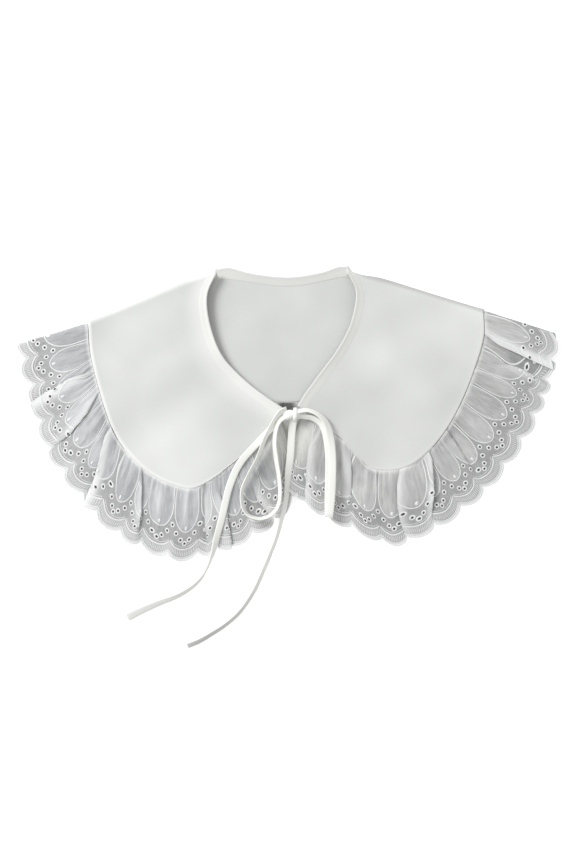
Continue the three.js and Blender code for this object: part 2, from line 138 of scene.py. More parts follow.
class Finish:
    """A material with its shader and the nodes that feed it."""

    def __init__(self, name, roughness, **constants):
        self.material = bpy.data.materials.new(name)
        self.material.use_nodes = True
        self.tree = self.material.node_tree
        self.shader = self.tree.nodes["Principled BSDF"]
        self.shader.inputs["Roughness"].default_value = roughness
        for socket, value in constants.items():
            self.shader.inputs[socket.replace("_", " ")].default_value = value

    def node(self, kind, settings, inputs):
        made = self.tree.nodes.new(kind)
        for name, value in settings.items():
            setattr(made, name, value)
        for name, value in inputs.items():
            self.plug(made.inputs[name], value)
        return [Signal(self, socket) for socket in made.outputs if socket.enabled]

    def plug(self, socket, value):
        if isinstance(value, Signal):
            self.tree.links.new(value.socket, socket)
        else:
            socket.default_value = value

    def feed(self, name, value):
        self.plug(self.shader.inputs[name], value)

    def place(self):
        """Object coordinates in metres."""
        return self.node("ShaderNodeTexCoord", {}, {})[3]

    def axes(self):
        """The same coordinates as x, y and z."""
        return self.node("ShaderNodeSeparateXYZ", {}, {"Vector": self.place()})

    def pattern(self):
        """The piece's own map: along the cloth, across it, and both together."""
        uv = self.node("ShaderNodeUVMap", {"uv_map": "cloth"}, {})[0]
        return self.node("ShaderNodeSeparateXYZ", {}, {"Vector": uv})[:2] + [uv]

    def noise(self, vector, scale, detail):
        inputs = {"Vector": vector, "Scale": scale, "Detail": detail}
        return self.node("ShaderNodeTexNoise", {}, inputs)[0]

    def streaks(self, vector, scales, detail):
        """Noise with a scale of its own along each axis."""
        inputs = {"Vector": vector, "Scale": scales}
        return self.noise(self.node("ShaderNodeMapping", {}, inputs)[0], 1.0, detail)

    def spot(self, at, radius, soft):
        """1 inside a round mark at a place in millimetres and 0 outside it."""
        x, y, _ = self.axes()
        side, down = x - at[0] * MM, y - at[1] * MM
        return 1 - (side * side + down * down).root().above(radius * MM, soft * MM)

    def blend(self, factor, first, second):
        """The first colour where the factor is 0 and the second where it is 1."""
        first, second = (c if isinstance(c, Signal) else (*c, 1) for c in (first, second))
        return self.node("ShaderNodeMix", {"data_type": "RGBA"}, {0: factor, 6: first, 7: second})[0]

    def relief(self, height, distance, strength):
        inputs = {"Height": height, "Distance": distance, "Strength": strength}
        self.feed("Normal", self.node("ShaderNodeBump", {}, inputs)[0])


# %% [markdown]
# Lines and surfaces are arrays of points. The helpers here draw smooth curves through rows of numbers,
# measure along them, and make a mesh from rings of corners. Each mesh gets the map that its cloth pattern
# follows, is shaded smooth and rides on the collar's only body.


# %% Curve helpers
def curve(a, b, c, d, t):
    """A smooth curve from b to c at shares t of the way, with a before them and d after."""
    square = (2 * a - 5 * b + 4 * c - d) * t**2
    cube = (3 * b - a - 3 * c + d) * t**3
    return 0.5 * (2 * b + (c - a) * t + square + cube)


def carried_on(rows):
    """The rows with one more straight on at each end."""
    return np.concatenate([[2 * rows[0] - rows[1]], rows, [2 * rows[-1] - rows[-2]]])


def run_of(points):
    """Length along a line, from its start to each of its points."""
    return np.concatenate([[0], np.cumsum(np.linalg.norm(np.diff(points, axis=0), axis=1))])


def unit(vectors):
    """The vectors at a length of 1."""
    return vectors / np.linalg.norm(vectors, axis=-1, keepdims=True)


def squared_off(values, power):
    """Sines or cosines drawn out, so that a round becomes more of a box."""
    return np.sign(values) * np.abs(values) ** power


def soft_step(value, low, high):
    """0 up to the low value and 1 from the high one, with an even slope between."""
    t = np.clip((value - low) / (high - low), 0, 1)
    return t * t * (3 - 2 * t)


def bell(distance):
    """1 at a distance of 0, and nearly 0 beyond 2."""
    return np.exp(-(distance**2))


# %% Mesh helpers
def make_piece(name, points, faces, cloth_map, finish, angle):
    """A piece from points in millimetres, smooth where its faces meet at less than an angle in degrees."""
    mesh = bpy.data.meshes.new(name)
    mesh.from_pydata((np.asarray(points) * MM).tolist(), [], faces)
    layer = mesh.uv_layers.new(name="cloth")
    corners = np.zeros(len(mesh.loops), int)
    mesh.loops.foreach_get("vertex_index", corners)
    layer.data.foreach_set("uv", np.asarray(cloth_map, float)[corners].ravel())
    mesh.materials.append(finish.material)
    mesh.update()
    made = bpy.data.objects.new(name, mesh)
    scene.collection.objects.link(made)
    bpy.ops.object.select_all(action="DESELECT")
    made.select_set(True)
    bpy.context.view_layer.objects.active = made
    bpy.ops.object.shade_smooth_by_angle(angle=math.radians(angle))
    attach(made, "root")
    triangles = sum(len(polygon.vertices) - 2 for polygon in mesh.polygons)
    print(name, triangles, "triangles")
    return made


def ring_faces(rings, size, first=0, closed=False):
    """Quads between neighbouring rings of corners, with a cap on each end unless the rings close."""
    faces = []
    for ring in range(rings if closed else rings - 1):
        here = first + ring * size
        there = first + ((ring + 1) % rings) * size
        for k in range(size):
            after = (k + 1) % size
            faces.append((here + k, here + after, there + after, there + k))
    if not closed:
        last = first + (rings - 1) * size
        faces.append(tuple(reversed(range(first, first + size))))
        faces.append(tuple(range(last, last + size)))
    return faces


def flipped(faces):
    """The faces turned to look the other way."""
    return [face[::-1] for face in faces]


# %% [markdown]
# The ties are folded strips of the same cloth, 7.5 mm wide. Each follows the same route as its solid, and its
# length is printed. The routes are the solids' own points in millimetres, measured from the front tip. The
# last number of each row is the roll of the tape, which lies flat at 0 and stands on its edge at 90. The free
# ends are painted greyer as painted shade, most of all the thin one.

# %% Tape cloth
tape_cloth = Finish("tape_cloth", 0.7, Sheen_Weight=0.15, Sheen_Roughness=0.5)
along, across, _ = tape_cloth.pattern()
twill = (along * 5200 + across * 5200).sine() * 0.5 + 0.5
threads = tape_cloth.noise(tape_cloth.place(), 1400, 3)
blotch = tape_cloth.noise(tape_cloth.place(), 60, 2)
shade = blotch * 0.6 + threads * 0.25 + twill * 0.15
x, y, _ = tape_cloth.axes()
free_end = 1 - y.above(-0.175, 0.05)
right_tail = x.above(-0.095, 0.02)
white = tape_cloth.blend(shade, (0.84, 0.845, 0.80), (0.95, 0.955, 0.92))
# Painted shade: the free ends of the ties are painted greyer, the thin right tail most of all.
painted_tail_shade = free_end * (right_tail * 0.3 + 0.55)
tape_cloth.feed("Base Color", tape_cloth.blend(painted_tail_shade, white, (0.44, 0.445, 0.435)))
tape_cloth.relief(twill * 0.6 + threads * 0.4, 0.00012, 0.6)

# %% Routes of the ties
TIP = np.array([0.0, 4.5, 0.0])
TAPE_WIDTH = 7.5
TAPE_THICKNESS = 1.5
TAPE_SIDES = 16
TAPE_ROUND = (0.45, 0.7)
STEEP = 0.25
FLOOR_GAP = 0.15
CURVE_STEPS = 12
CORD_POINTS = 37

LEFT_TAIL = [
    # x, y, height, roll
    (-2.5, -6.6, 11.2, 0), (-8.4, -11, 9.8, 0), (-16, -19, 8.8, 0), (-27, -30.5, 8.6, 5),
    (-43.5, -49.5, 8.6, 10),
    (-53, -70.5, 8.4, 8), (-59, -95.5, 8.2, 10), (-64.5, -116.5, 8, 25), (-68.5, -132.5, 7.4, 50),
    (-73, -143.5, 3.8, 58), (-79, -153.5, 1.6, 45), (-88, -162, 1.3, 35), (-101, -169.5, 1.2, 30),
    (-117, -175.5, 1.2, 20), (-133, -182.5, 1.2, 10), (-145, -188.5, 1.2, 0),
]
RIGHT_TAIL = [
    (4.8, -7, 11, 0), (4, -13.1, 9.4, 0), (2.8, -24.5, 8.4, 0), (1.8, -42.5, 8.2, 8),
    (-0.5, -61.5, 8.2, 30),
    (-2, -80.5, 8.2, 45), (-6, -98.5, 8, 48), (-11, -117.5, 6.4, 45), (-16, -130.5, 2.4, 40),
    (-22, -144.5, 1.1, 35), (-31, -164.5, 1, 40), (-43, -182.5, 1, 45), (-56, -194.5, 1, 45),
    (-69, -203, 1, 40), (-80, -209.5, 1, 30), (-91, -214, 1, 20),
]
LEFT_LOOP = [
    (-1.5, -1.6, 13.6, 30), (-7, -4, 14.4, 50), (-11.6, -9.6, 14.3, 60), (-16.5, -18.5, 14, 62),
    (-21.5, -28.5, 13.8, 64),
    (-27.5, -44.5, 12.6, 68), (-36, -60.5, 12, 70), (-41.3, -73.5, 12, 70), (-41.3, -86.5, 12, 72),
    (-36.5, -95.5, 12, 74), (-26, -99, 12, 74), (-15.5, -95.5, 12, 72), (-9.4, -87.5, 12, 70),
    (-7.6, -76.5, 12, 68), (-8.6, -61.5, 12.4, 66), (-11, -46.5, 13.2, 64), (-12.6, -31.5, 13.8, 64),
    (-11.2, -18.5, 14.1, 60), (-8.2, -11.6, 14.0, 52), (-3.5, -7.6, 13, 40),
]
RIGHT_LOOP = [
    (5.6, -3.6, 13.6, 40), (10.4, -2.7, 14.2, 50), (18, -2.3, 14.2, 58), (26.5, -6, 13.8, 55),
    (33, -12.5, 13.4, 42),
    (36.5, -21.5, 13, 24), (38.5, -34.5, 12.8, 8), (39.3, -48.5, 12.8, 0), (39, -66.5, 12.8, 0),
    (38, -82.5, 12.8, 0), (36.6, -95.1, 12.6, 0), (36.3, -96.9, 10.8, 0), (36, -95.1, 9, 0),
    (35.6, -82.5, 8.9, 0), (35.8, -66.5, 8.9, 0), (36, -48.5, 8.9, 0), (35, -34.5, 9.2, 6),
    (32.5, -21.5, 9.6, 18), (28.5, -14, 10.1, 30), (21, -9.1, 10.6, 38), (11, -7.6, 10.8, 38),
    (5.6, -7, 11.2, 30),
]


TIES = [
    # node, route, steps, what its far end is, and its width at shares of its length
    ("left_tail", LEFT_TAIL, 150, "bare",
     ((0, 0.8), (0.3, 0.86), (0.55, 0.8), (0.66, 0.42), (0.78, 0.62), (1, 0.9))),
    ("right_tail", RIGHT_TAIL, 150, "bare", ((0, 0.9), (0.22, 0.92), (0.4, 0.7), (0.55, 0.6), (1, 0.62))),
    ("left_loop", LEFT_LOOP, 170, "object", ((0, 0.9), (0.2, 1), (0.8, 1), (1, 0.9))),
    ("right_loop", RIGHT_LOOP, 220, "object", ((0, 0.7), (0.12, 0.85), (0.45, 0.95), (0.55, 0.9), (1, 0.7))),
]


def smooth_route(rows, steps):
    """Points on a smooth curve through the rows, at even steps of its length."""
    rows = np.array(rows, float)
    rows[:, :3] += TIP
    padded = carried_on(rows)
    t = np.linspace(0, 1, CURVE_STEPS, endpoint=False)[:, None]
    fine = [curve(*four, t) for four in zip(padded, padded[1:], padded[2:], padded[3:])]
    fine = np.vstack(fine + [rows[-1:]])
    run = run_of(fine[:, :3])
    wanted = np.linspace(0, run[-1], steps + 1)
    return np.stack([np.interp(wanted, run, column) for column in fine.T], axis=1), run[-1]


# %% [markdown]
# A tape is a row of rings along its route, each a flattened round. It lies flat or stands on edge as its roll
# says, and where a ring would sink below the surface it is lifted to lie on it.


# %% Tapes
def tape_faces(line):
    """Directions across the tape and out of its face, at each point of a route with its roll."""
    forward = unit(np.gradient(line[:, :3], axis=0))
    side = np.cross(forward, (0, 0, 1))
    for k in range(len(side)):
        size = np.linalg.norm(side[k])
        side[k] = side[k - 1] if size < STEEP and k else side[k] / size
        if k and side[k] @ side[k - 1] < 0:
            side[k] *= -1
    roll = np.radians(line[:, 3])[:, None]
    flat = side * np.cos(roll) + np.cross(side, forward) * np.sin(roll)
    return flat, np.cross(flat, forward)


def tape(name, rows, steps, widths):
    """A flat soft tape along a route, with rounded edges and closed ends."""
    line, length = smooth_route(rows, steps)
    centre = line[:, :3]
    flat, face = tape_faces(line)
    part = np.linspace(0, 1, steps + 1)
    run = part * length
    angles = np.linspace(0, 2 * np.pi, TAPE_SIDES, endpoint=False) + np.pi / TAPE_SIDES
    half = np.interp(part, *zip(*widths)) * TAPE_WIDTH / 2
    wide = half[:, None] * squared_off(np.cos(angles), TAPE_ROUND[0])
    ends = np.minimum(1, np.minimum(part, 1 - part) * length / 0.8 + 0.25)
    crease = 1 + 0.10 * np.sin(run / 11.0) + 0.06 * np.sin(run / 4.3 + 1)
    thick = (ends * crease)[:, None] * squared_off(np.sin(angles), TAPE_ROUND[1]) * TAPE_THICKNESS / 2
    rings = centre[:, None] + flat[:, None] * wide[:, :, None] + face[:, None] * thick[:, :, None]
    sunk = np.minimum(0, rings[:, :, 2].min(axis=1) - FLOOR_GAP)
    rings[:, :, 2] -= sunk[:, None]
    route = (centre - sunk[:, None] * (0, 0, 1))[np.linspace(0, steps, CORD_POINTS).astype(int)] * MM
    cloth_map = np.stack([np.repeat(run * MM, TAPE_SIDES), wide.ravel() * MM], 1)
    faces = ring_faces(steps + 1, TAPE_SIDES)
    return make_piece(name, rings.reshape(-1, 3), faces, cloth_map, tape_cloth, 50), route, length * MM


for node, rows, steps, far_end, widths in TIES:
    made, route, length = tape(node + "_tape", rows, steps, widths)
    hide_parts(node)
    print(node, "length", round(length, 4))

# %% [markdown]
# The cloth is described as its solids are: by section lines that run from the neck edge to the lace edge.
# Each table row is one line, and a smooth curve through the rows gives the lines between. neckX and neckDown
# place the neck end, heading and panel the line across the collar, laceHeading and lace the line across the
# lace, and the lifts are heights, all as shares of the sizes below.

# %% Tables of the cloth
NECK_WIDTH = 128
NECK_DROP = 124
BACK_NECK_Y = 128.5
PANEL_WIDTH = 120
PANEL_THICKNESS = 1.6
BINDING_WIDTH = 9
BINDING_THICKNESS = 2.2
LACE_WIDTH = 63
SEAM_GAP = 0.3
FRONT_LIFT = 6.4
BACK_LACE_LIFT = 1.7
SCALLOP_PITCH = 24.3
SHEET_COLUMNS = (190, 13, 260, 13, 170)
LACE_COLUMNS = (640, 25, 900, 25, 560)

BACK_COLUMNS = ("neckX", "neckDown", "heading", "panel", "laceHeading", "lace")
FRONT_COLUMNS = (*BACK_COLUMNS, "neckLift", "seamLift", "edgeLift", "wave", "tuck")


def table_of(columns, rows):
    """An array for each named column."""
    return dict(zip(columns, np.array(rows, float).T))


LEFT_FRONT = table_of(FRONT_COLUMNS, [
    (-0.02, 1.01, 227, 0.07, 281, 1.19, 1.05, 1.05, 0.78, 0.1, 0.34),
    (-0.02, 1.01, 227, 0.45, 287, 1.1, 1.08, 1, 0.6, 0.7, 0),
    (-0.09, 0.965, 227, 0.85, 260, 1.04, 1.15, 1, 0.5, 1, 0),
    (-0.175, 0.905, 224, 0.96, 244, 0.98, 1.2, 1, 0.5, 1, 0),
    (-0.27, 0.83, 222, 1, 225, 0.97, 1.22, 1, 0.5, 1, 0),
    (-0.37, 0.735, 220, 1.01, 209, 0.93, 1.26, 1, 0.5, 1, 0),
    (-0.455, 0.635, 217, 1, 201, 0.95, 1.3, 1, 0.52, 0.9, 0),
    (-0.515, 0.51, 214, 0.98, 197, 0.97, 1.38, 1, 0.6, 0.8, 0),
    (-0.56, 0.34, 210, 0.965, 192, 0.96, 1.5, 1, 0.75, 0.5, 0),
    (-0.57, 0.19, 205.5, 0.97, 194, 0.98, 1.6, 1, 0.88, 0.25, 0),
    (-0.545, 0.045, 202, 0.99, 196, 1.02, 1.65, 1, 0.9, 0, 0),
])
BACK = table_of(BACK_COLUMNS, [
    (-0.545, 0.045, 202, 0.99, 196, 1.02),
    (-0.35, 0.02, 226, 1.03, 240, 1.07),
    (0, 0.05, 270, 0.94, 270, 1.07),
    (0.3, 0.01, 315, 1, 301, 1.08),
    (0.455, 0.035, 343.5, 1.015, 343, 1.08),
])
RIGHT_FRONT = table_of(FRONT_COLUMNS, [
    (0.455, 0.035, -16.5, 1.015, -17, 1.08, 1.5, 1, 0.9, 0, 0),
    (0.475, 0.18, -18.5, 1.005, -22, 1.06, 1.5, 1, 0.9, 0.25, 0),
    (0.44, 0.37, -22, 0.99, -22, 1.07, 1.4, 1, 0.8, 0.5, 0),
    (0.385, 0.5, -27.5, 1, -22, 1.05, 1.3, 1, 0.6, 0.8, 0),
    (0.32, 0.61, -33.5, 1.01, -28, 1.01, 1.25, 1, 0.5, 0.9, 0),
    (0.255, 0.7, -39, 1, -38, 0.97, 1.2, 1, 0.5, 1, 0),
    (0.2, 0.775, -44, 0.955, -49, 0.96, 1.2, 1, 0.5, 1, 0),
    (0.155, 0.84, -48, 0.85, -63, 1.03, 1.15, 1, 0.5, 1, 0),
    (0.115, 0.895, -49.5, 0.69, -75, 1.17, 1.12, 1, 0.52, 0.9, 0),
    (0.062, 0.985, -37, 0.325, -90, 1.25, 1.08, 1, 0.6, 0.6, 0),
    (0.062, 0.985, -37, 0.07, -95, 1.2, 1.05, 1.05, 0.78, 0.1, 0.34),
])


# %% [markdown]
# A section is what the tables say about many lines at once: where each starts, which way it runs, how long it
# is and how high it lies. The points of the collar and of the lace are measured along it.


# %% Section lines
def column_at(table, name, share):
    """Values of one column at shares of the way down a table, on a smooth curve through its rows."""
    values = table[name]
    padded = carried_on(values)
    place = np.clip(share, 0, 1) * (len(values) - 1)
    row = np.minimum(np.floor(place).astype(int), len(values) - 2)
    return curve(*(padded[row + k] for k in range(4)), place - row)


def heading(angle):
    """Direction in plan at an angle in degrees from +X."""
    return np.stack([np.cos(np.radians(angle)), np.sin(np.radians(angle))], axis=-1)


def panel_line(table, share):
    """Neck end, direction and length of the section lines across the collar."""
    tip_row = 1 / (len(table["panel"]) - 1)
    kept = share
    if table is LEFT_FRONT:
        kept = np.maximum(share, tip_row)
    if table is RIGHT_FRONT:
        kept = np.minimum(share, 1 - tip_row)
    neck = np.stack([
        column_at(table, "neckX", kept) * NECK_WIDTH,
        BACK_NECK_Y - column_at(table, "neckDown", kept) * NECK_DROP,
    ], axis=-1)
    return neck, heading(column_at(table, "heading", kept)), column_at(table, "panel", share) * PANEL_WIDTH


def panel_end(table, share):
    """Outer end of the section lines, on the collar's seam."""
    neck, across, length = panel_line(table, share)
    return neck + across * length[:, None]


def seam_line(table, share):
    """Start of the lace, a seam gap outside the collar's edge."""
    step = 0.005
    run = unit(panel_end(table, np.minimum(1, share + step)) - panel_end(table, np.maximum(0, share - step)))
    side = 1 if table is BACK else -1
    outward = np.stack([run[:, 1] * side, -run[:, 0] * side], axis=1)
    return panel_end(table, share) + outward * SEAM_GAP


def section(table, share):
    """All that a section line needs, for an array of shares."""
    neck, across, length = panel_line(table, share)
    line = {
        "neck": neck,
        "across": across,
        "length": length,
        "seam": seam_line(table, share),
        "lace_across": heading(column_at(table, "laceHeading", share)),
        "lace_length": column_at(table, "lace", share) * LACE_WIDTH,
        "front": table is not BACK,
    }
    if line["front"]:
        line["neck_z"] = column_at(table, "neckLift", share) * FRONT_LIFT
        line["seam_z"] = column_at(table, "seamLift", share) * FRONT_LIFT
        line["lace_z"] = line["seam_z"] - column_at(table, "tuck", share) * FRONT_LIFT
        line["edge_z"] = column_at(table, "edgeLift", share) * FRONT_LIFT
    return line


def panel_points(line, distance, rest):
    """Points of the collar's middle surface at distances from the neck edge."""
    plan = line["neck"] + line["across"] * distance[:, None]
    if line["front"]:
        share = np.clip(distance / line["length"], 0, 1)
        ease = share * (2 - share)
        height = line["neck_z"] + (line["seam_z"] - line["neck_z"]) * ease
    else:
        height = np.full(len(distance), rest)
    return np.column_stack([plan, height])


def lace_points(line, share):
    """Points of the lace's middle surface at a share of its width, without its gathers."""
    plan = line["seam"] + line["lace_across"] * (share * line["lace_length"])[:, None]
    if line["front"]:
        height = line["lace_z"] + (line["edge_z"] - line["lace_z"]) * np.clip(share * abs(share), 0, 1)
    else:
        rest = PANEL_THICKNESS / 2
        height = np.full(len(plan), rest + (BACK_LACE_LIFT - rest) * np.clip(3 * share, 0, 1))
    return np.column_stack([plan, height])


# %% [markdown]
# At each shoulder the cloth turns over in a half round from the back layer to the front layer. One grid of
# points therefore covers the whole strip: left front, turn, back, turn, right front.


# %% One surface from tip to tip
def turn_points(below, above, outward, angles):
    """Points of a half round from the point below to the point above."""
    radius = (above[2] - below[2]) / 2
    reach = radius * np.cos(np.radians(angles))
    height = below[2] + radius * (1 + np.sin(np.radians(angles)))
    return np.column_stack([below[0] + outward[0] * reach, below[1] + outward[1] * reach, height])


def strip_grid(points_of, rows, counts, first=0, last=1):
    """Grid of points with a column for each section line, between shares of the left and right tables."""
    left = section(LEFT_FRONT, np.linspace(first, 1, counts[0]))
    back = section(BACK, np.linspace(0, 1, counts[2]))
    right = section(RIGHT_FRONT, np.linspace(0, last, counts[4]))
    angles = np.linspace(-90, 90, counts[1])[1:-1]
    (left_x, left_y), (right_x, right_y) = back["across"][0], back["across"][-1]
    lines = []
    for place in rows:
        l, b, r = (points_of(line, place) for line in (left, back, right))
        left_turn = turn_points(b[0], l[-1], (left_y, -left_x), angles[::-1])
        right_turn = turn_points(b[-1], r[0], (-right_y, right_x), angles)
        lines.append(np.vstack([l, left_turn, b, right_turn, r]))
    return np.stack(lines, axis=1)


def frames(grid):
    """Unit directions along the strip, across it and out of its face at each grid point."""
    run = unit(np.gradient(grid, axis=0))
    cross = np.gradient(grid, axis=1)
    return run, unit(cross), unit(np.cross(run, cross))


# %% [markdown]
# The collar is two layers of a smooth white cotton, turned right side out, so its outer seam is a soft round
# edge and the cloth between swells a little. The mesh is a closed sheet: a ring of points goes along the
# upper face, round the seam, back along the lower face and round the neck edge. Beside the shoulder turns the
# neck edge curves up and over to the back, as the photographed one does.


# %% Closed sheets
SHEET_LOW = 0.05
MAP_WIDTH = 0.11
END_TAPER = (0.3, 0.75, 0.95)
CORNER_REACH = 14
CORNER_LIFT = 2.6
TURN_DROP = 7.0
NECK_CORNERS = [
    # place of a corner in plan, how far its edge is drawn over towards the middle
    (-71.5, 128.7, 6.5), (60.8, 130.5, -7.5),
]
CORNER_RISES = [
    # place along x, half width and height of the rise beside a corner
    (-61, 17, 6.4), (53, 13, 7.2),
]


def sheet_ring(rows, ends):
    """Places across a sheet as share, reach beyond the end and height, all the way round it."""
    turn = [(math.cos(a), math.sin(a)) for a in np.radians(np.linspace(90, -90, ends + 2)[1:-1])]
    upper = [(share, 0.0, 1.0) for share in np.linspace(0, 1, rows)]
    outer = [(1.0, reach, rise) for reach, rise in turn]
    lower = [(share, 0.0, -1.0) for share in np.linspace(1, 0, rows)]
    inner = [(0.0, -reach, -rise) for reach, rise in turn]
    return np.array(upper + outer + lower + inner).T


def turn_shares():
    """For each column: 0 on the fronts and 1 on the back, and 1 in the middle of a shoulder turn."""
    left, turn, back, _, right = SHEET_COLUMNS
    steps = np.linspace(0, 1, turn - 2)
    ease, bulge = steps**3, np.sin(np.pi * steps)
    on_back = np.concatenate([np.zeros(left), ease, np.ones(back), ease[::-1], np.zeros(right)])
    turning = np.concatenate([np.zeros(left), bulge, np.zeros(back), bulge, np.zeros(right)])
    return on_back[:, None], turning[:, None]


def draw_corners(grid):
    """The neck edge curves over towards the middle where it meets the back."""
    on_back, turning = turn_shares()
    for x, y, move in NECK_CORNERS:
        near = bell((grid[:, :, 0] - x) / CORNER_REACH) * bell((grid[:, :, 1] - y) / CORNER_REACH)
        grid[:, :, 0] += move * near
        grid[:, :, 1] += near * (CORNER_LIFT * (1 - on_back) - TURN_DROP * turning)
    return grid


def cloth_ripple(points):
    """Low soft swells of the cloth in millimetres, lower where it lies on the surface."""
    x, y, z = points[..., 0], points[..., 1], points[..., 2]
    lifted = np.clip((z - 1) / 5, 0, 1)
    waves = (
        0.62 * np.sin(x / 17.0 + 0.02 * y + 0.8)
        + 0.55 * np.sin(y / 15.0 - x / 40.0 + 2.1)
        + 0.34 * np.sin((x + y) / 11.0 + 0.6)
        + 0.26 * np.sin((x - 1.7 * y) / 14.0)
    )
    return waves * (0.12 + 0.88 * lifted) + 0.20 * (1 - lifted)


def closed_sheet(name, start, width, thickness, rows, ends, finish, swell, rising):
    """A sheet with both faces, from a start beside the neck edge to its width or to the collar's seam.

    It has a number of rows on each face and of ends round each edge. Its thickness follows the swell, and
    rising is 1 where its neck edge rises beside the shoulder turns."""
    half = thickness / 2

    def points_of(line, place):
        reach = line["length"] if width is None else np.full(len(line["length"]), float(width))
        return panel_points(line, start + half + (reach - start - 2 * half) * place, half)

    shares, reach, rise = sheet_ring(rows, ends)
    across = np.linspace(0, 1, rows)
    grid = draw_corners(strip_grid(points_of, across, SHEET_COLUMNS, 0.1, 0.9))
    _, cross, face = frames(grid)
    row = np.round(shares * (rows - 1)).astype(int)
    taper = np.ones(len(grid))
    taper[[0, 1, 2]] = taper[[-1, -2, -3]] = END_TAPER
    lift = rise * swell(across)[row] * half
    body = grid[:, row] + cross[:, row] * (reach * half)[:, None]
    body = body + face[:, row] * lift[:, None] * taper[:, None, None]
    body[:, :, 2] += cloth_ripple(grid[:, row])
    corner_rise = sum(height * bell((body[:, :, 0] - x) / wide) for x, wide, height in CORNER_RISES)
    body[:, :, 1] += rising * turn_shares()[0] * corner_rise * (1 - shares)
    body[:, :, 2] = np.maximum(body[:, :, 2], SHEET_LOW)
    along_map = run_of(grid[:, rows // 2]) * MM
    cloth_map = np.stack(np.meshgrid(along_map, shares * MAP_WIDTH, indexing="ij"), axis=-1).reshape(-1, 2)
    faces = flipped(ring_faces(len(grid), len(shares)))
    return make_piece(name, body.reshape(-1, 3), faces, cloth_map, finish, 60)


# %% [markdown]
# Both cloths are plain whites with a fine weave. Soft cloudy marks are painted light and shade for the gentle
# modelling of a thick cotton. Pools of light and highlights are painted on the fronts and on the binding of
# the left front, a painted shadow lies on the back inside the left neck edge, and a painted shade line
# follows the fold of the right shoulder.

# %% Panel cloth
def front_and_left(finish):
    """1 on the fronts and 0 on the back, and 1 on the left half and 0 on the right."""
    x, _, z = finish.axes()
    return z.above(0.004, 0.002), 1 - x.above(0.0, 0.02)


panel_cloth = Finish("panel_cloth", 0.75, Sheen_Weight=0.1, Sheen_Roughness=0.5)
place = panel_cloth.place()
weave = panel_cloth.noise(place, 1500, 2)
slub = panel_cloth.streaks(place, (180, 1500, 600), 2)
cloud = panel_cloth.noise(place, 14, 2)
x, y, _ = panel_cloth.axes()
from_neck = panel_cloth.pattern()[1]
front, on_left = front_and_left(panel_cloth)
# Painted light: a pool of light on the left, another on the lower left front, one on the upper right front,
# and two painted highlights on the left front.
left_painted_light = panel_cloth.spot((-88, -42), 42, 42) * 0.24
low_painted_light = panel_cloth.spot((-100, -80), 25, 50) * front * 0.26
right_painted_light = x.above(0.06, 0.06) * y.above(0.02, 0.06) * front * 0.26
painted_highlights = panel_cloth.spot((-110, -24), 8, 46) * 0.34 + panel_cloth.spot((-158, 46), 3, 22) * 0.22
shade = cloud * 0.67 - 0.17 + weave * 0.07 + slub * 0.056 - (1 - front) * 0.035
shade = shade + (left_painted_light + low_painted_light + right_painted_light + painted_highlights * front)
white = panel_cloth.blend(shade, (0.56, 0.57, 0.556), (0.90, 0.91, 0.895))
# Painted highlight: the left front is painted paler along its neck edge, which faces the lamp.
neck_painted_light = (1 - from_neck.above(0.010, 0.012)) * on_left * front
white = panel_cloth.blend(neck_painted_light * 0.8, white, (0.80, 0.805, 0.78))
# Painted highlight: a pale line along the rolled outer seam of the fronts, stronger on the left towards the
# lamp.
painted_seam_highlight = from_neck.above(0.1080, 0.0015) * front * (on_left * 0.3 + 0.3)
white = panel_cloth.blend(painted_seam_highlight, white, (0.90, 0.905, 0.88))
# Painted shade: a darker line along the fold of the right shoulder.
to_fold = y + x * 0.2056 + x * x * 0.359
painted_shoulder_shade = to_fold.above(0.1372, 0.0026) * x.above(0.064, 0.010)
white = panel_cloth.blend(painted_shoulder_shade * 0.75, white, (0.40, 0.40, 0.385))
# Painted shadow on the back inside the left neck edge, where the raised front casts its shade.
painted_neck_shadow = panel_cloth.spot((-84, 95), 16, 34) * (1 - front)
panel_cloth.feed("Base Color", panel_cloth.blend(painted_neck_shadow * 0.24, white, (0.40, 0.405, 0.38)))
panel_cloth.relief(weave * 0.6 + slub * 0.4, 0.00010, 0.5)

# %% Binding cloth
binding_cloth = Finish("binding_cloth", 0.75, Sheen_Weight=0.12, Sheen_Roughness=0.5)
place = binding_cloth.place()
weave = binding_cloth.noise(place, 1400, 3)
cloud = binding_cloth.noise(place, 30, 2)
front, on_left = front_and_left(binding_cloth)
# Painted light: the binding on the left front, the side towards the lamp, is painted paler.
shade = cloud * 0.30 + weave * 0.15 + front * on_left * 0.5
binding_cloth.feed("Base Color", binding_cloth.blend(shade, (0.60, 0.605, 0.58), (0.86, 0.865, 0.84)))
binding_cloth.relief(weave, 0.00012, 0.5)

# %% [markdown]
# The panel swells a little towards its seam, and its neck edge is tucked into the binding. The binding is
# thickest at the neck, where the tape is folded over.


# %% Collar panel
NECK_TUCK = 4


def panel_swell(share):
    return 1 + 0.35 * bell((1 - share) * PANEL_WIDTH / 3.2)


collar_panel = closed_sheet(
    "panel_cloth", start=BINDING_WIDTH - NECK_TUCK, width=None, thickness=PANEL_THICKNESS,
    rows=44, ends=5, finish=panel_cloth, swell=panel_swell, rising=0,
)
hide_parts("collar_panel")


# %% Neck binding
def binding_swell(share):
    return 0.79 + 0.30 * bell(share / 0.18) - 0.04 * bell((1 - share) / 0.12)


neck_binding = closed_sheet(
    "binding_tape", start=0, width=BINDING_WIDTH, thickness=BINDING_THICKNESS,
    rows=9, ends=7, finish=binding_cloth, swell=binding_swell, rising=1,
)
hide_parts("neck_binding")

# %% [markdown]
# The lace is a strip of thin lawn, gathered along the seam. Its edge hangs nearer the back than its seam, so
# the cloth runs aslant, most of all on the lower sides of the fronts. Here and there a fold leans over on
# itself. Each fold is a local wave that pushes the cloth along the strip and up at once, so it can overlap
# but never cut through itself.

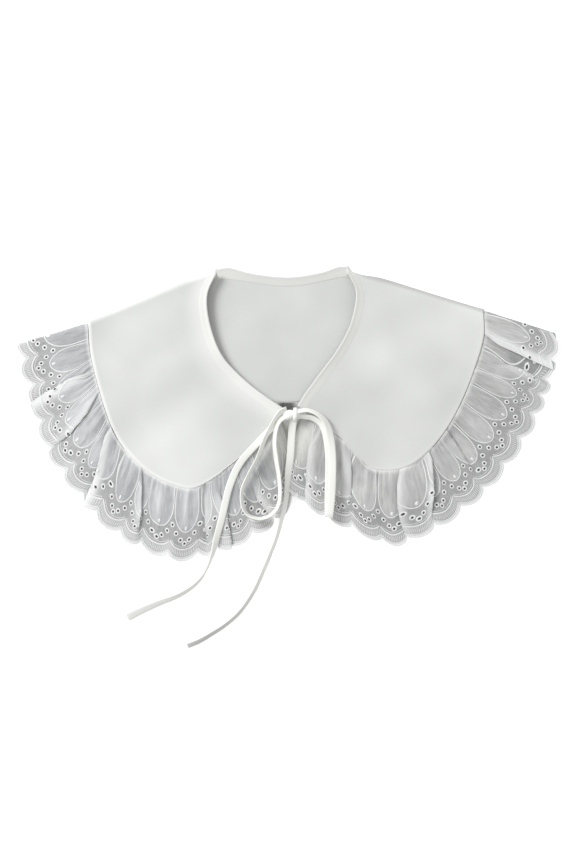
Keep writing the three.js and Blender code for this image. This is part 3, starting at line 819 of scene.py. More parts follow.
# %% Lace surface
LACE_ROWS = np.linspace(-0.04, 1.06, 56)
SEAM_ALLOWANCE = 2.4
PATTERN_TOP = LACE_WIDTH + SEAM_ALLOWANCE
PATTERN_PITCH = 28.0
TRUE_SCALE = 34.0
TURN_COLUMNS = [639, 664, 1562, 1587]
FINE_STEPS = 24000
SLANT_WINDOW = 0.5
LACE_LOW = 0.5
LACE_SETTLE = 0.35
LACE_FREE = 1.2
FOLD_GROWTH = 0.45
BACK_GATHERS = 0.45
LEFT_END_PUSH = -4.0
RIGHT_END_PUSH = 9.5
RIGHT_END_RISE = 1.6
Fold = namedtuple("Fold", "centre slant half lean height start end")
SLANTS = [
    # place along the edge in scallops, shift of the cloth at the seam in scallops
    (0, 0), (3, 0.1), (4, 0.15), (5, 0.5), (6, 0.9), (7, 1.4), (8, 1.5), (9, 1.8), (10, 1.5), (11, 1.3),
    (12, 1.1), (13, 0.8), (14, 0.3), (15, 0), (40, 0), (41, -0.1), (42, 0), (43, -0.35), (44, -0.5),
    (45, -0.6), (46, -0.65), (47, -0.8), (48, -1.2), (49, -1.2), (50, -0.9), (51, -0.9), (52, -0.3),
    (53, -0.2), (54, 0),
]
FOLDS = [
    # place at the edge, its own slant, half width in mm, lean in mm, height in mm, where it starts and ends
    (1.25, 0.6, 4.5, 6.0, -2.2, 0.2, 0.95), (3.1, 0.2, 4.8, 7.4, 2.4, 0.1, 1.3),
    (3.95, 0.0, 4.0, 5.8, -3.2, -0.2, 0.9), (6.6, 0.9, 4.5, 5.4, 2.4, -0.2, 0.85),
    (9.1, 0.8, 5.6, 9.6, -4.2, -0.3, 1.15),
    (11.5, 0.6, 4.5, 5.4, 2.0, -0.1, 0.9), (13.25, 0.5, 4.5, 8.2, -2.8, 0.0, 1.2),
    (17.5, 0, 5.0, 3.0, 1.6, 0.1, 2), (21.3, 0, 5.0, 3.0, -1.8, 0.1, 2), (25.0, 0, 5.0, 3.4, 1.8, 0.1, 2),
    (28.6, 0, 5.0, 3.4, -1.8, 0.1, 2), (32.3, 0, 5.0, 3.4, 1.8, 0.1, 2), (36.0, 0, 5.0, 3.4, -1.8, 0.1, 2),
    (40.7, -0.15, 4.4, 7.6, -3.0, -0.2, 1.3), (41.35, 0.0, 4.4, 6.0, 2.0, 0.1, 0.95),
    (45.9, -0.6, 4.2, 3.0, 2.0, -0.3, 0.75), (48.35, -1.0, 5.0, 7.4, 3.6, -0.3, 0.85),
    (49.45, -0.2, 4.2, 6.0, -3.4, -0.2, 1.0), (51.7, 0.0, 4.4, 4.8, 2.4, -0.1, 0.8),
    (53.4, 0.0, 4.2, 6.0, -2.2, 0.0, 1.2),
]
FOLDS = [Fold(*row) for row in FOLDS]
CRESTS = [
    # place at the edge, half width in mm, height in mm, where it ends as a share of the way across
    (2.3, 3.0, 0.8, 0.7), (4.9, 4.2, 1.5, 0.75), (5.6, 3.0, -0.8, 0.6), (6.15, 3.2, 1.5, 0.75),
    (7.4, 3.0, 0.9, 0.7), (7.9, 4.0, 1.0, 0.7), (8.5, 2.6, -0.7, 0.6), (10.1, 3.4, 1.1, 0.6),
    (10.7, 2.4, -0.7, 0.5), (11.1, 3.4, 1.0, 0.7),
    (12.2, 3.6, 0.9, 0.7), (12.8, 2.4, -0.6, 0.5), (13.9, 2.6, 0.8, 0.6), (14.6, 3.6, 0.8, 0.7),
    (40.1, 3.4, 0.9, 0.8), (42.0, 3.6, 1.0, 0.7), (43.1, 3.6, 0.8, 0.7), (44.15, 4.4, 1.3, 0.6),
    (44.6, 2.8, -1.0, 0.7), (45.4, 2.2, 1.4, 0.65), (46.2, 3.0, -1.0, 0.5), (46.7, 2.6, 1.0, 0.5),
    (47.5, 3.0, -0.9, 0.6), (48.9, 4.2, 1.2, 0.7), (50.1, 2.6, -0.9, 0.5), (50.9, 4.0, 1.3, 0.7),
    (52.1, 2.4, 1.1, 0.7), (53.0, 3.0, -0.8, 0.6),
]
PAINTED_LIGHT_SPOTS = [
    # place at the edge, share across, half widths of both, and how strong a painted highlight is, negative
    # for a painted shade
    (2.3, 0.42, 0.35, 0.14, -0.7), (3.2, 0.8, 0.25, 0.35, -1.2), (4.95, 0.3, 0.16, 0.24, 0.45),
    (6.15, 0.3, 0.15, 0.25, 0.7),
    (7.2, 0.45, 0.25, 0.2, 0.4), (9.9, 0.4, 0.35, 0.22, 0.55), (12.6, 0.3, 1.4, 0.35, 0.38),
    (13.7, 0.55, 0.3, 0.2, 0.35), (7.9, 0.4, 0.35, 0.25, -0.25), (8.7, 0.3, 0.3, 0.25, -0.25),
    (40.2, 0.5, 0.5, 0.5, 0.2), (41.2, 0.3, 0.25, 0.3, 0.1), (42.0, 0.3, 0.25, 0.25, 0.35),
    (44.1, 0.25, 0.25, 0.2, 0.35), (44.75, 0.4, 0.2, 0.2, -0.35), (46.3, 0.25, 0.45, 0.15, -0.5),
    (47.75, 0.36, 0.3, 0.14, -0.8), (48.9, 0.3, 0.35, 0.3, 0.35), (50.6, 0.05, 0.4, 0.12, -0.4),
    (51.65, 0.4, 0.15, 0.16, -0.7), (52.0, 0.25, 0.14, 0.2, 0.5), (53.0, 0.3, 0.2, 0.25, -0.3),
    (53.7, 0.35, 0.35, 0.5, 0.35),
]


def lace_widths():
    """Width of the lace at each column of its grid."""
    tables = {0: LEFT_FRONT, 2: BACK, 4: RIGHT_FRONT}
    left, back, right = (
        section(table, np.linspace(0, 1, LACE_COLUMNS[part]))["lace_length"] for part, table in tables.items()
    )
    turn = np.ones(LACE_COLUMNS[1] - 2)
    return np.concatenate([left, turn * left[-1], back, turn * back[-1], right])


lace_grid = strip_grid(lace_points, LACE_ROWS, LACE_COLUMNS)
lace_run, _, lace_face = frames(lace_grid)
lace_lengths = lace_widths()
edge_row = int(np.argmin(np.abs(LACE_ROWS - 1)))
STRIP = run_of(lace_grid[:, edge_row]) / SCALLOP_PITCH
turn_starts = STRIP[TURN_COLUMNS]
print("strip", round(STRIP[-1], 2), "scallops, turns at", np.round(turn_starts, 2))


# %% [markdown]
# The gathers push every point along the strip and out of its face. They fade at the two shoulder turns, and
# the lace's two ends are drawn towards each other where they meet behind the knot.


# %% Gathers and folds
def grid_at(grid, along, share):
    """Values of a grid between its points."""
    i = np.interp(along, STRIP, np.arange(len(STRIP)))
    j = np.interp(share, LACE_ROWS, np.arange(len(LACE_ROWS)))
    i0 = np.minimum(i.astype(int), len(STRIP) - 2)
    j0 = np.minimum(j.astype(int), len(LACE_ROWS) - 2)
    s = (i - i0)[:, None]
    t = (j - j0)[:, None]
    near = grid[i0, j0] * (1 - t) + grid[i0, j0 + 1] * t
    far = grid[i0 + 1, j0] * (1 - t) + grid[i0 + 1, j0 + 1] * t
    return near * (1 - s) + far * s


def near_turns(along):
    """0 at a shoulder turn and 1 away from it."""
    away = np.ones(len(along))
    for start, end in (turn_starts[:2], turn_starts[2:]):
        middle, half = (start + end) / 2, (end - start) / 2
        away = np.minimum(away, soft_step(np.abs(along - middle), half, half + 1.2))
    return away


def smoothed(values, half_window):
    """A running mean, with the ends carried on straight."""
    size = 2 * half_window + 1
    before = 2 * values[0] - values[half_window:0:-1]
    after = 2 * values[-1] - values[-2:-half_window - 2:-1]
    return np.convolve(np.concatenate([before, values, after]), np.full(size, 1 / size), "valid")


fine_along = np.linspace(0, STRIP[-1], FINE_STEPS)
steps_per_scallop = len(fine_along) / STRIP[-1]
slant_line = smoothed(np.interp(fine_along, *zip(*SLANTS)), int(SLANT_WINDOW * steps_per_scallop))
slant_line *= soft_step(fine_along, 0, 1) * (1 - soft_step(fine_along, STRIP[-1] - 1, STRIP[-1]))


def fold_places(along, share, fold):
    """Place on a fold in its half widths, and how far the fold has grown at each share."""
    t = (along - fold.centre - fold.slant * (1 - share)) * SCALLOP_PITCH / fold.half
    grown = soft_step(share, fold.start, fold.start + FOLD_GROWTH)
    return t, grown * (1 - 0.8 * soft_step(share, fold.end - 0.35, fold.end + 0.1))


def fold_bump(t):
    """A wave that rises to 1 on one side of a fold and falls to -1 on the other."""
    return t * np.exp(0.5 - t * t / 2)


def seam_gathers(along, share, away):
    """The fine gathers beside the seam and the broad waves beside the edge."""
    turns = 2 * np.pi * along
    wander = 0.9 * np.sin(along * 1.9) + 0.6 * np.sin(along * 3.7 + 1)
    fine = np.sin(turns * 2.3 + wander * 2) + 0.6 * np.sin(turns * 4.1 + 1.3 + wander)
    broad = np.sin(turns * 0.61 + 0.5) + 0.8 * np.sin(turns * 0.37 + 2) + 0.5 * np.sin(turns * 1.17 + 0.4)
    fade = soft_step(share, -0.04, 0.05) * (1 - soft_step(share, 0.05, 0.5)) * 0.9 + 0.08
    return 0.34 * fine * fade * (0.5 + 0.5 * away) + 0.6 * broad * soft_step(share, 0.0, 0.9) * away


def gathers(along, share):
    """Push along the strip and rise out of its face, in millimetres."""
    rise = seam_gathers(along, share, near_turns(along))
    push = 0.9 * rise
    for fold in FOLDS:
        t, grown = fold_places(along, share, fold)
        bump = fold_bump(t) * grown
        push = push - fold.lean * bump
        rise = rise + fold.height / 2 * bump
    for centre, half, height, end in CRESTS:
        crest = bell((along - centre) * SCALLOP_PITCH / half)
        rise = rise + height * crest * soft_step(share, -0.02, 0.1) * (1 - soft_step(share, end - 0.4, end))
    on_back = (along > turn_starts[1]) & (along < turn_starts[2])
    size = np.where(on_back, BACK_GATHERS, 1.0)
    ends = soft_step(along, 0, 0.3) * (1 - soft_step(along, STRIP[-1] - 0.3, STRIP[-1]))
    free = soft_step(share, -0.04, 0.45)
    right_end = soft_step(along, STRIP[-1] - 1.3, STRIP[-1]) * free
    left_end = (1 - soft_step(along, 0, 1.0)) * free
    push = push * size * ends + RIGHT_END_PUSH * right_end + LEFT_END_PUSH * left_end
    return push, rise * size + RIGHT_END_RISE * right_end


def lace_surface(along, share):
    """Points of the gathered lace."""
    push, rise = gathers(along, share)
    back = np.clip(1 - share, 0, 1.04)
    place = along + np.interp(along, fine_along, slant_line) * back**2
    points = grid_at(lace_grid, place, share)
    points = points + grid_at(lace_run, place, share) * push[:, None]
    points = points + grid_at(lace_face, place, share) * rise[:, None]
    height = points[:, 2] - LACE_LOW
    settled = LACE_SETTLE * np.log1p(np.exp(height / LACE_SETTLE))
    points[:, 2] = LACE_LOW + np.where(height > LACE_FREE, height, settled)
    return points


def fold_tone_and_painted_light(along, share):
    """How pale the cloth looks: 1 on the rolled edge of a fold, where it lies three deep and is painted as a
    highlight, with painted shade beside the fold and the painted light spots added.
    """
    tone = np.zeros(len(along))
    for fold in FOLDS:
        t, grown = fold_places(along, share, fold)
        t = t * np.sign(fold.height)
        strength = np.clip((fold.lean - 3.0) / 4, 0, 1.2) * grown
        tone = tone + strength * (bell((t - 1.25) / 0.62) - 0.4 * bell((t + 1.6) / 0.6))
    for place, across, half_along, half_across, amount in PAINTED_LIGHT_SPOTS:
        tone = tone + amount * bell((along - place) / half_along) * bell((share - across) / half_across)
    return np.clip(tone, -1, 1)


# %% [markdown]
# The eyelet pattern repeats once in every scallop. It is drawn on the flat strip, so its own length has to be
# measured along the gathered edge: where a fold hides cloth, it hides part of the pattern too.

# %% Pattern along the gathered edge
PATTERN_PLACES = [
    # place along the edge in scallops as seen from above, repeat of the pattern seen there
    (0.66, 0), (1.46, 1), (2.11, 1.5), (2.65, 2), (3.5, 3.45), (3.82, 3.9), (4.25, 4.45), (4.89, 5),
    (5.47, 5.5), (6.03, 6), (6.58, 6.5), (6.99, 7), (7.43, 7.45), (8.16, 8.05), (8.64, 8.5), (9.6, 9.6),
    (10.12, 10.02), (10.54, 10.46), (11.17, 11), (11.72, 11.64), (12.19, 12), (12.7, 12.5), (13.55, 14),
    (14, 14.5), (14.56, 15), (15.02, 15.5), (15.39, 15.83), (40.07, 38), (40.5, 38.6), (41.02, 39.3),
    (41.66, 40.2), (42.05, 40.8), (42.52, 41.42), (43.15, 42), (43.62, 42.5), (44.22, 43), (44.77, 43.5),
    (45.4, 44), (46.49, 45), (47.04, 45.5), (47.71, 46), (48.1, 46.36), (48.83, 47), (49.25, 47.36),
    (49.82, 48), (50.25, 48.4), (51.13, 49.08), (51.5, 49.42), (52.18, 50), (53.2, 51),
]
FIRST_REPEAT = 0.73
REPEATS = 53
PLACE_WINDOW = 0.26
FOLD_WINDOW = 0.16
STEP_ALONG = 0.012
STEP_UP = 0.3

edge_share = np.ones(len(fine_along))
edge_line = lace_surface(fine_along, edge_share)
edge_run = run_of(edge_line)
edge_push, edge_rise = gathers(fine_along, edge_share)
seen_along = fine_along + edge_push / SCALLOP_PITCH
cloth_places, cloth_repeats = [0], [0]
for place, repeat in PATTERN_PLACES:
    crossings = np.nonzero((seen_along[:-1] - place) * (seen_along[1:] - place) <= 0)[0]
    topmost = crossings[np.argmax(edge_rise[crossings])]
    cloth_places.append(topmost)
    cloth_repeats.append(repeat + FIRST_REPEAT)
cloth_places.append(len(fine_along) - 1)
cloth_repeats.append(REPEATS)
even_run = edge_run / PATTERN_PITCH
correction = np.array(cloth_repeats) - even_run[cloth_places]
pattern_run = even_run + np.interp(np.arange(len(fine_along)), cloth_places, correction)
pattern_run = smoothed(pattern_run, int(PLACE_WINDOW * steps_per_scallop))
pattern_run = np.maximum.accumulate(pattern_run + np.arange(len(fine_along)) * 1e-7)
pattern_run = (pattern_run - pattern_run[0]) / (pattern_run[-1] - pattern_run[0]) * REPEATS
stretches = np.diff(edge_run[cloth_places]) / PATTERN_PITCH / np.diff(cloth_repeats)
print("edge", round(edge_run[-1]), "mm in", REPEATS, "repeats")
print("stretch", np.round([stretches.min(), stretches.max()], 2))


def fold_cloth(fold, share):
    """Extra cloth that a slanting fold has taken up along the strip, in repeats."""
    plain = fine_along * SCALLOP_PITCH
    bump = fold_bump((fine_along - fold.centre - fold.slant * (1 - share)) * SCALLOP_PITCH / fold.half)
    folded = run_of(np.column_stack([plain - fold.lean * bump, fold.height / 2 * bump]))
    return (folded - plain) / PATTERN_PITCH


PATTERN_SHARES = np.linspace(1, 0, 11)
pattern_rows = []
slanting = [fold for fold in FOLDS if fold.slant]
for share in PATTERN_SHARES:
    row = pattern_run.copy()
    for fold in slanting:
        moved = fold_cloth(fold, share) - fold_cloth(fold, 1)
        row = row + smoothed(moved, int(FOLD_WINDOW * steps_per_scallop))
    pattern_rows.append(np.maximum.accumulate(row))


def lace_place(repeat, up):
    """Place along the strip and share across it, for a place in the pattern."""
    along = np.interp(repeat, pattern_run, fine_along)
    length = np.interp(along, STRIP, lace_lengths)
    scale = (length + SEAM_ALLOWANCE - TRUE_SCALE) / (PATTERN_TOP - TRUE_SCALE)
    stretched = np.where(up > TRUE_SCALE, TRUE_SCALE + (up - TRUE_SCALE) * scale, up)
    share = 1 - (stretched - SEAM_ALLOWANCE) / length
    row = np.clip(1 - share, 0, 0.9999) * (len(PATTERN_SHARES) - 1)
    lower = row.astype(int)
    part = row - lower
    near, far = np.empty(len(along)), np.empty(len(along))
    for k in range(len(PATTERN_SHARES) - 1):
        here = lower == k
        near[here] = np.interp(repeat[here], pattern_rows[k], fine_along)
        far[here] = np.interp(repeat[here], pattern_rows[k + 1], fine_along)
    return near * (1 - part) + far * part, share


def lace_map(repeat, up, height):
    """Points at a height out of the lace's face, for places in the pattern."""
    points = lace_surface(*lace_place(repeat, up))
    before = lace_surface(*lace_place(np.maximum(repeat - STEP_ALONG, 0), up))
    after = lace_surface(*lace_place(np.minimum(repeat + STEP_ALONG, REPEATS), up))
    lower = lace_surface(*lace_place(repeat, up - STEP_UP))
    upper = lace_surface(*lace_place(repeat, up + STEP_UP))
    face = np.cross(after - before, lower - upper)
    face /= np.maximum(np.linalg.norm(face, axis=1), 1e-9)[:, None]
    return points + face * height[:, None]


# %% [markdown]
# One repeat of the ground is drawn flat: a scalloped edge, six punched eyelets and rows of points between
# them, joined by triangles that keep to those lines. The repeat is then copied along the strip and laid on
# the gathered surface.

# %% Flat repeat of the ground
EDGE_RADIUS = 18.0
INNER_RADIUS = 16.6
EYELET_RADIUS = 1.15
RING_RADIUS = EYELET_RADIUS + 0.62
HOLE_MARGIN = 0.55
STITCHES = 17
EYELETS = [(0.0, 16.2), (-0.148, 19.5), (0.148, 19.5), (-0.325, 25.2), (0.325, 25.2), (0.5, 32.2)]
CELL_START = 0.27
CELL_COLUMNS = 20
CELL_ROWS = 33
CUSP_COLUMN = 5
HOLE_CORNERS = 12
LAWN_HALF = 0.14
MAP_UP = 100


def scallop_height(across, radius):
    """Height of a row of scallops above their own bottom, for places in repeats."""
    within = (across - np.round(across)) * PATTERN_PITCH
    return radius - np.sqrt(radius**2 - within**2)


def in_hole(x, up, holes, radius):
    """Whether a place in the pattern lies within a radius of any hole."""
    return any(math.hypot((x - a) * PATTERN_PITCH, up - b) < radius for a, b in holes)


def flat_repeat():
    """Corners of one repeat in repeats and millimetres, and its triangles."""
    across = CELL_START + np.arange(CELL_COLUMNS + 1) / CELL_COLUMNS
    across[CUSP_COLUMN] = 0.5
    shares = np.linspace(0, 1, CELL_ROWS + 1) ** 1.12
    holes = [(place + (place < CELL_START), up) for place, up in EYELETS]
    corners, kept = [], {}
    for column, x in enumerate(across):
        low = float(scallop_height(x, EDGE_RADIUS))
        for row, share in enumerate(shares):
            up = low * (1 - share) ** 1.6 + PATTERN_TOP * share
            border = column in (0, CELL_COLUMNS) or row in (0, CELL_ROWS)
            if border or not in_hole(x, up, holes, EYELET_RADIUS + HOLE_MARGIN):
                kept[column, row] = len(corners)
                corners.append((float(x), up))
    edges = [(kept[c, 0], kept[c + 1, 0]) for c in range(CELL_COLUMNS)]
    for a, b in holes:
        first = len(corners)
        corners += [tuple(corner) for corner in ring(a, b, EYELET_RADIUS, HOLE_CORNERS)]
        edges += [(first + k, first + (k + 1) % HOLE_CORNERS) for k in range(HOLE_CORNERS)]
    flat = [Vector((x * PATTERN_PITCH, up)) for x, up in corners]
    made = delaunay_2d_cdt(flat, edges, [], 0, 1e-4)
    points = np.array([(p.x / PATTERN_PITCH, p.y) for p in made[0]])
    triangles = []
    for face in made[2]:
        x, up = points[list(face)].mean(axis=0)
        outside = up < scallop_height(x, EDGE_RADIUS) - 1e-3
        if not outside and not in_hole(x, up, holes, EYELET_RADIUS * 0.97):
            triangles.append(tuple(face))
    return points, triangles


def ring(place, up, radius, count):
    """Corners round a place in the pattern."""
    angles = np.linspace(0, 2 * np.pi, count, endpoint=False)
    return np.column_stack([place + radius * np.cos(angles) / PATTERN_PITCH, up + radius * np.sin(angles)])


cell_points, cell_triangles = flat_repeat()
print("flat repeat", len(cell_points), "corners", len(cell_triangles), "triangles")


# %% [markdown]
# Neighbouring repeats share the corners of their side edges, so the whole ground is one sheet. Its other side
# and the rims of its holes and edges close it.


# %% Ground of the lace
def repeat_strip(points, triangles, repeats):
    """Copies of one repeat side by side, sharing the corners where they meet."""
    on_left, on_right = (
        {round(up, 4): k for k, (x, up) in enumerate(points) if abs(x - side) < 1e-5}
        for side in (CELL_START, CELL_START + 1)
    )
    inner = [k for k in range(len(points)) if k not in set(on_left.values())]
    corners = [points[k] - (CELL_START, 0) for k in on_left.values()]
    numbers = {k: place for place, k in enumerate(on_left.values())}
    faces = []
    for repeat in range(repeats):
        for k in inner:
            numbers[k] = len(corners)
            corners.append(points[k] + (repeat - CELL_START, 0))
        faces += [tuple(numbers[k] for k in triangle) for triangle in triangles]
        for up, k in on_left.items():
            numbers[k] = numbers[on_right[up]]
    return np.array(corners), faces


def thickened(count, faces):
    """Faces of a closed sheet: the sheet, its other side and the rims between."""
    rims = {}
    for face in faces:
        for k in range(len(face)):
            edge = (face[k], face[(k + 1) % len(face)])
            if edge[::-1] in rims:
                del rims[edge[::-1]]
            else:
                rims[edge] = True
    under = [tuple(corner + count for corner in reversed(face)) for face in faces]
    walls = [(b, a, a + count, b + count) for a, b in rims]
    return faces + under + walls


ground_points, ground_faces = repeat_strip(cell_points, cell_triangles, REPEATS)
half = np.full(len(ground_points), LAWN_HALF)
upper, lower = (lace_map(ground_points[:, 0], ground_points[:, 1], side * half) for side in (1, -1))
ground_map = np.column_stack([ground_points[:, 0] + CELL_START, ground_points[:, 1] / MAP_UP])

# %% [markdown]
# The lawn is sheer, so its petals, its net and its hem differ in tone. Their outlines come from the same
# numbers as the embroidery's. Where a fold lies three deep the cloth is paler, partly as a painted highlight,
# and beside it painted shade makes it darker.


# %% Lace cloth
PETAL_FOOT = 0.266
PETAL_ROUND = 0.17
PETAL_HALF = 0.46


def painted_knot_shadow(finish):
    """1 on the lace of the back below the knot, where a deep shadow is painted."""
    return finish.spot((-2, 6), 8, 4) * (1 - finish.axes()[2].above(0.0045, 0.001))


lace_lawn = Finish("lace_lawn", 0.85, Sheen_Weight=0.1, Sheen_Roughness=0.4)
place = lace_lawn.place()
along, up, both = lace_lawn.pattern()
within = (along + 0.5).fraction() - 0.5
petal_rise = ((up - PETAL_FOOT) / PETAL_ROUND).at_least(0.0).at_most(1.0)
petal_half = (petal_rise * (2.0 - petal_rise)).root() * PETAL_HALF
petal = (petal_half - within.absolute()).above(0.0, 0.012)
streak = lace_lawn.streaks(both, (14, 9, 1), 3)
lawn = lace_lawn.noise(place, 1300, 2)
patches = lace_lawn.noise(place, 34, 2)
speckle = lace_lawn.noise(place, 620, 2)
on_right = lace_lawn.axes()[0].above(0.0, 0.05)
lower_right_painted_shade = lace_lawn.spot((110, -90), 35, 40)
# Painted shade: the lawn and its net are painted darker on the right, and again at the lower right, the side
# away from the lamp.
shade = streak * 1.2 + lawn * 0.4 + patches * 1.1 - 0.86 - on_right * 0.12 - lower_right_painted_shade * 0.16
reach = within * (PATTERN_PITCH / MAP_UP)
arc = ((INNER_RADIUS / MAP_UP) ** 2 - reach * reach).root()
inside = up - (INNER_RADIUS / MAP_UP - arc)
rim = 1 - inside.above(0.029, 0.004)
band = inside.above(0.030, 0.003) * (1 - inside.above(0.104, 0.006))
ray = (along * (2 * math.pi * STITCHES)).sine() * 0.5 + 0.5
sheer = lace_lawn.blend(shade, (0.38, 0.39, 0.405), (0.71, 0.718, 0.73))
neutral = lace_lawn.blend(shade + 0.08, (0.42, 0.425, 0.42), (0.76, 0.765, 0.755))
sheer = lace_lawn.blend(on_right, sheer, neutral)
plain = lace_lawn.blend(shade * 0.5 + speckle * 0.5, (0.28, 0.285, 0.285), (0.62, 0.625, 0.62))
net_shade = ray * 0.6 + patches * 0.4 - on_right * 0.1
net = lace_lawn.blend(net_shade, (0.40, 0.405, 0.405), (0.76, 0.765, 0.76))
hem = lace_lawn.blend(patches * 0.6 + speckle * 0.4, (0.62, 0.625, 0.625), (0.86, 0.865, 0.865))
tone = lace_lawn.node("ShaderNodeAttribute", {"attribute_name": "tone"}, {})[2]
# Painted light and shade from the tone attribute: paler on the rolled edges of folds, where the cloth lies
# three deep and a painted highlight is laid, and darker with painted shade beside them and in the painted
# light spots.
layered_and_painted_light = tone.at_least(0.0) * 0.85
painted_fold_shade = (tone * -1.0).at_least(0.0) * 0.55
# The creamy middle below the bow is partly the lace's own cream colour and partly painted light that lifts
# the shadow of the bow's loop; it is also made more opaque there.
middle = lace_lawn.spot((-1, -24), 20, 16)
cream_and_painted_light = lace_lawn.blend(speckle, (0.70, 0.71, 0.63), (1.0, 1.0, 0.96))
ground = plain
for factor, over in (
    (petal, sheer), (band, net), (rim, hem), (layered_and_painted_light, (0.90, 0.905, 0.905)), (painted_fold_shade, (0.26, 0.27, 0.28)),
    # Painted light: the lawn beside the seam is painted pale, lifting the shade that the panel's edge casts
    # there.
    (up.above(0.638, 0.024) * 0.9, (0.92, 0.925, 0.915)), (middle * 0.85, cream_and_painted_light),
    # Painted shadow: the lace of the back below the knot is painted nearly black.
    (painted_knot_shadow(lace_lawn) * 0.9, (0.03, 0.03, 0.03)),
):
    ground = lace_lawn.blend(factor, ground, over)
lace_lawn.feed("Base Color", ground)
lace_lawn.feed("Alpha", 0.80 - petal * 0.12 + streak * 0.08 + layered_and_painted_light * 0.15 + middle * 0.15)
lace_lawn.relief(streak * 0.8 + lawn * 0.2, 0.0004, 0.5)

# %% Lace ground
lace_ruffle = make_piece(
    "lace_ground", np.vstack([upper, lower]), thickened(len(upper), ground_faces),
    np.vstack([ground_map, ground_map]), lace_lawn, 45,
)
ground_tone_and_painted_light = np.tile(fold_tone_and_painted_light(*lace_place(*ground_points.T)), 2)
lace_ruffle.data.attributes.new("tone", "FLOAT", "POINT").data.foreach_set("value", ground_tone_and_painted_light)
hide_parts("lace_ruffle")

# %% [markdown]
# The embroidery stands a little above the ground on both of its faces. Every line of it is a thin cord of
# satin stitch, drawn once in the flat repeat: the rim, the short stitches inside it, the scalloped line, the
# eyelets' rings, the petal with its dot. The threads are copied and laid on the surface as the ground was.


# %% Threads of one repeat
THREAD_END = 0.35


def thread(path, width, height, sides=6, closed=False):
    """A cord along a path in repeats and millimetres: its corners, its faces and its map."""
    flat = np.array(path, float) * (PATTERN_PITCH, 1)
    run = np.roll(flat, -1, axis=0) - np.roll(flat, 1, axis=0) if closed else np.gradient(flat, axis=0)
    run = unit(run)
    side = np.column_stack([-run[:, 1], run[:, 0]])
    angles = np.linspace(0, 2 * np.pi, sides, endpoint=False)
    size = np.ones((len(flat), 1))
    if not closed:
        size[[0, -1]] = THREAD_END
    plan = flat[:, None] + side[:, None] * (size * np.cos(angles) * width / 2)[:, :, None]
    rise = size * np.sin(angles) * height
    corners = np.stack([plan[:, :, 0] / PATTERN_PITCH, plan[:, :, 1], rise], axis=-1).reshape(-1, 3)
    marks = np.stack([np.repeat(run_of(flat), sides), np.tile(np.arange(sides) / sides, len(flat))], axis=1)
    return corners, ring_faces(len(flat), sides, 0, closed), marks


PETAL = np.array([
    # right side of the petal: place in repeats, height above the bottom of the scallops
    (0.0, 26.6), (0.10, 27.3), (0.20, 29.0), (0.28, 31.5), (0.36, 35), (0.42, 39), (0.455, 44), (0.465, 50),
    (0.455, 57), (0.43, 65.2),
])
places = np.linspace(-0.5, 0.5, 17)
edge = scallop_height(places, EDGE_RADIUS)
inner = scallop_height(places, INNER_RADIUS)
threads_of_repeat = [
    # path, width and height in mm, and sides of the thread
    thread(np.column_stack([places, edge + 0.8]), 1.8, 0.42),
    thread(np.column_stack([places, inner + 2.9]), 0.9, 0.32, 5),
    thread(np.column_stack([places, inner + 10.6]), 1.5, 0.42),
    thread(np.column_stack([places * 0.97, inner * 0.95 + 13.0]), 0.6, 0.25, 5),
]
for x in (np.arange(STITCHES) + 0.5) / STITCHES - 0.5:
    low = scallop_height(x, INNER_RADIUS)
    stitch = [(x, low + 3.2), (x * 0.985, low + 6.4), (x * 0.97, low + 9.8)]
    threads_of_repeat.append(thread(stitch, 0.8, 0.28, 4))
for place, up in EYELETS:
    threads_of_repeat.append(thread(ring(place, up, RING_RADIUS, 10), 1.55, 0.5, 6, True))
petal_line = np.vstack([PETAL[:0:-1] * (-1, 1), PETAL])
steps = np.linspace(0, len(petal_line) - 1, 41)
petal_line = [np.interp(steps, np.arange(len(petal_line)), column) for column in petal_line.T]
threads_of_repeat.append(thread(np.column_stack(petal_line), 1.1, 0.36))
threads_of_repeat.append(thread([(0, 28.5), (0, 29.4), (0, 30.4), (0, 31.4), (0, 32.2)], 2.4, 0.6, 8))
print("threads of one repeat", len(threads_of_repeat))


# %% [markdown]
# Every repeat carries the same threads. The parts that lie past the two ends of the strip gather on its ends.


# %% Embroidery
def laid_copies(parts):
    """Parts of one repeat, copied to every repeat and laid on the lace."""
    corners = np.vstack([part[0] for part in parts])
    marks = np.vstack([part[2] for part in parts])
    faces, count = [], 0
    for part_corners, part_faces, _ in parts:
        faces += [tuple(corner + count for corner in face) for face in flipped(part_faces)]
        count += len(part_corners)
    copies = range(REPEATS + 1)
    all_corners = np.vstack([corners + (copy, 0, 0) for copy in copies])
    all_faces = [tuple(corner + copy * count for corner in face) for copy in copies for face in faces]
    repeat = np.clip(all_corners[:, 0] - CELL_START, 0, REPEATS)
    points = lace_map(repeat, np.clip(all_corners[:, 1], 0, PATTERN_TOP), all_corners[:, 2])
    return points, all_faces, np.tile(marks, (len(copies), 1))


thread_white = Finish("thread_white", 0.6, Sheen_Weight=0.2, Sheen_Roughness=0.4)
stitch = (thread_white.pattern()[0] * 16).sine() * 0.5 + 0.5
fibre = thread_white.noise(thread_white.place(), 900, 2)
shade = stitch * 0.5 + fibre * 0.5
white = thread_white.blend(shade, (0.80, 0.805, 0.805), (0.96, 0.965, 0.965))
# Painted shadow: the threads below the knot are painted nearly black too.
painted_deep_shadow = painted_knot_shadow(thread_white) * 0.9
thread_white.feed("Base Color", thread_white.blend(painted_deep_shadow, white, (0.06, 0.06, 0.06)))
thread_white.relief(stitch * 0.7 + fibre * 0.3, 0.00015, 0.8)

lace_embroidery = make_piece("lace_embroidery", *laid_copies(threads_of_repeat), thread_white, 50)

# %% [markdown]
# In daylight the punched eyelets read as dark dots with a white ring, because the cloth below them lies in
# shade. A small sunk dark disc in each hole is painted shade that keeps that look from every side.

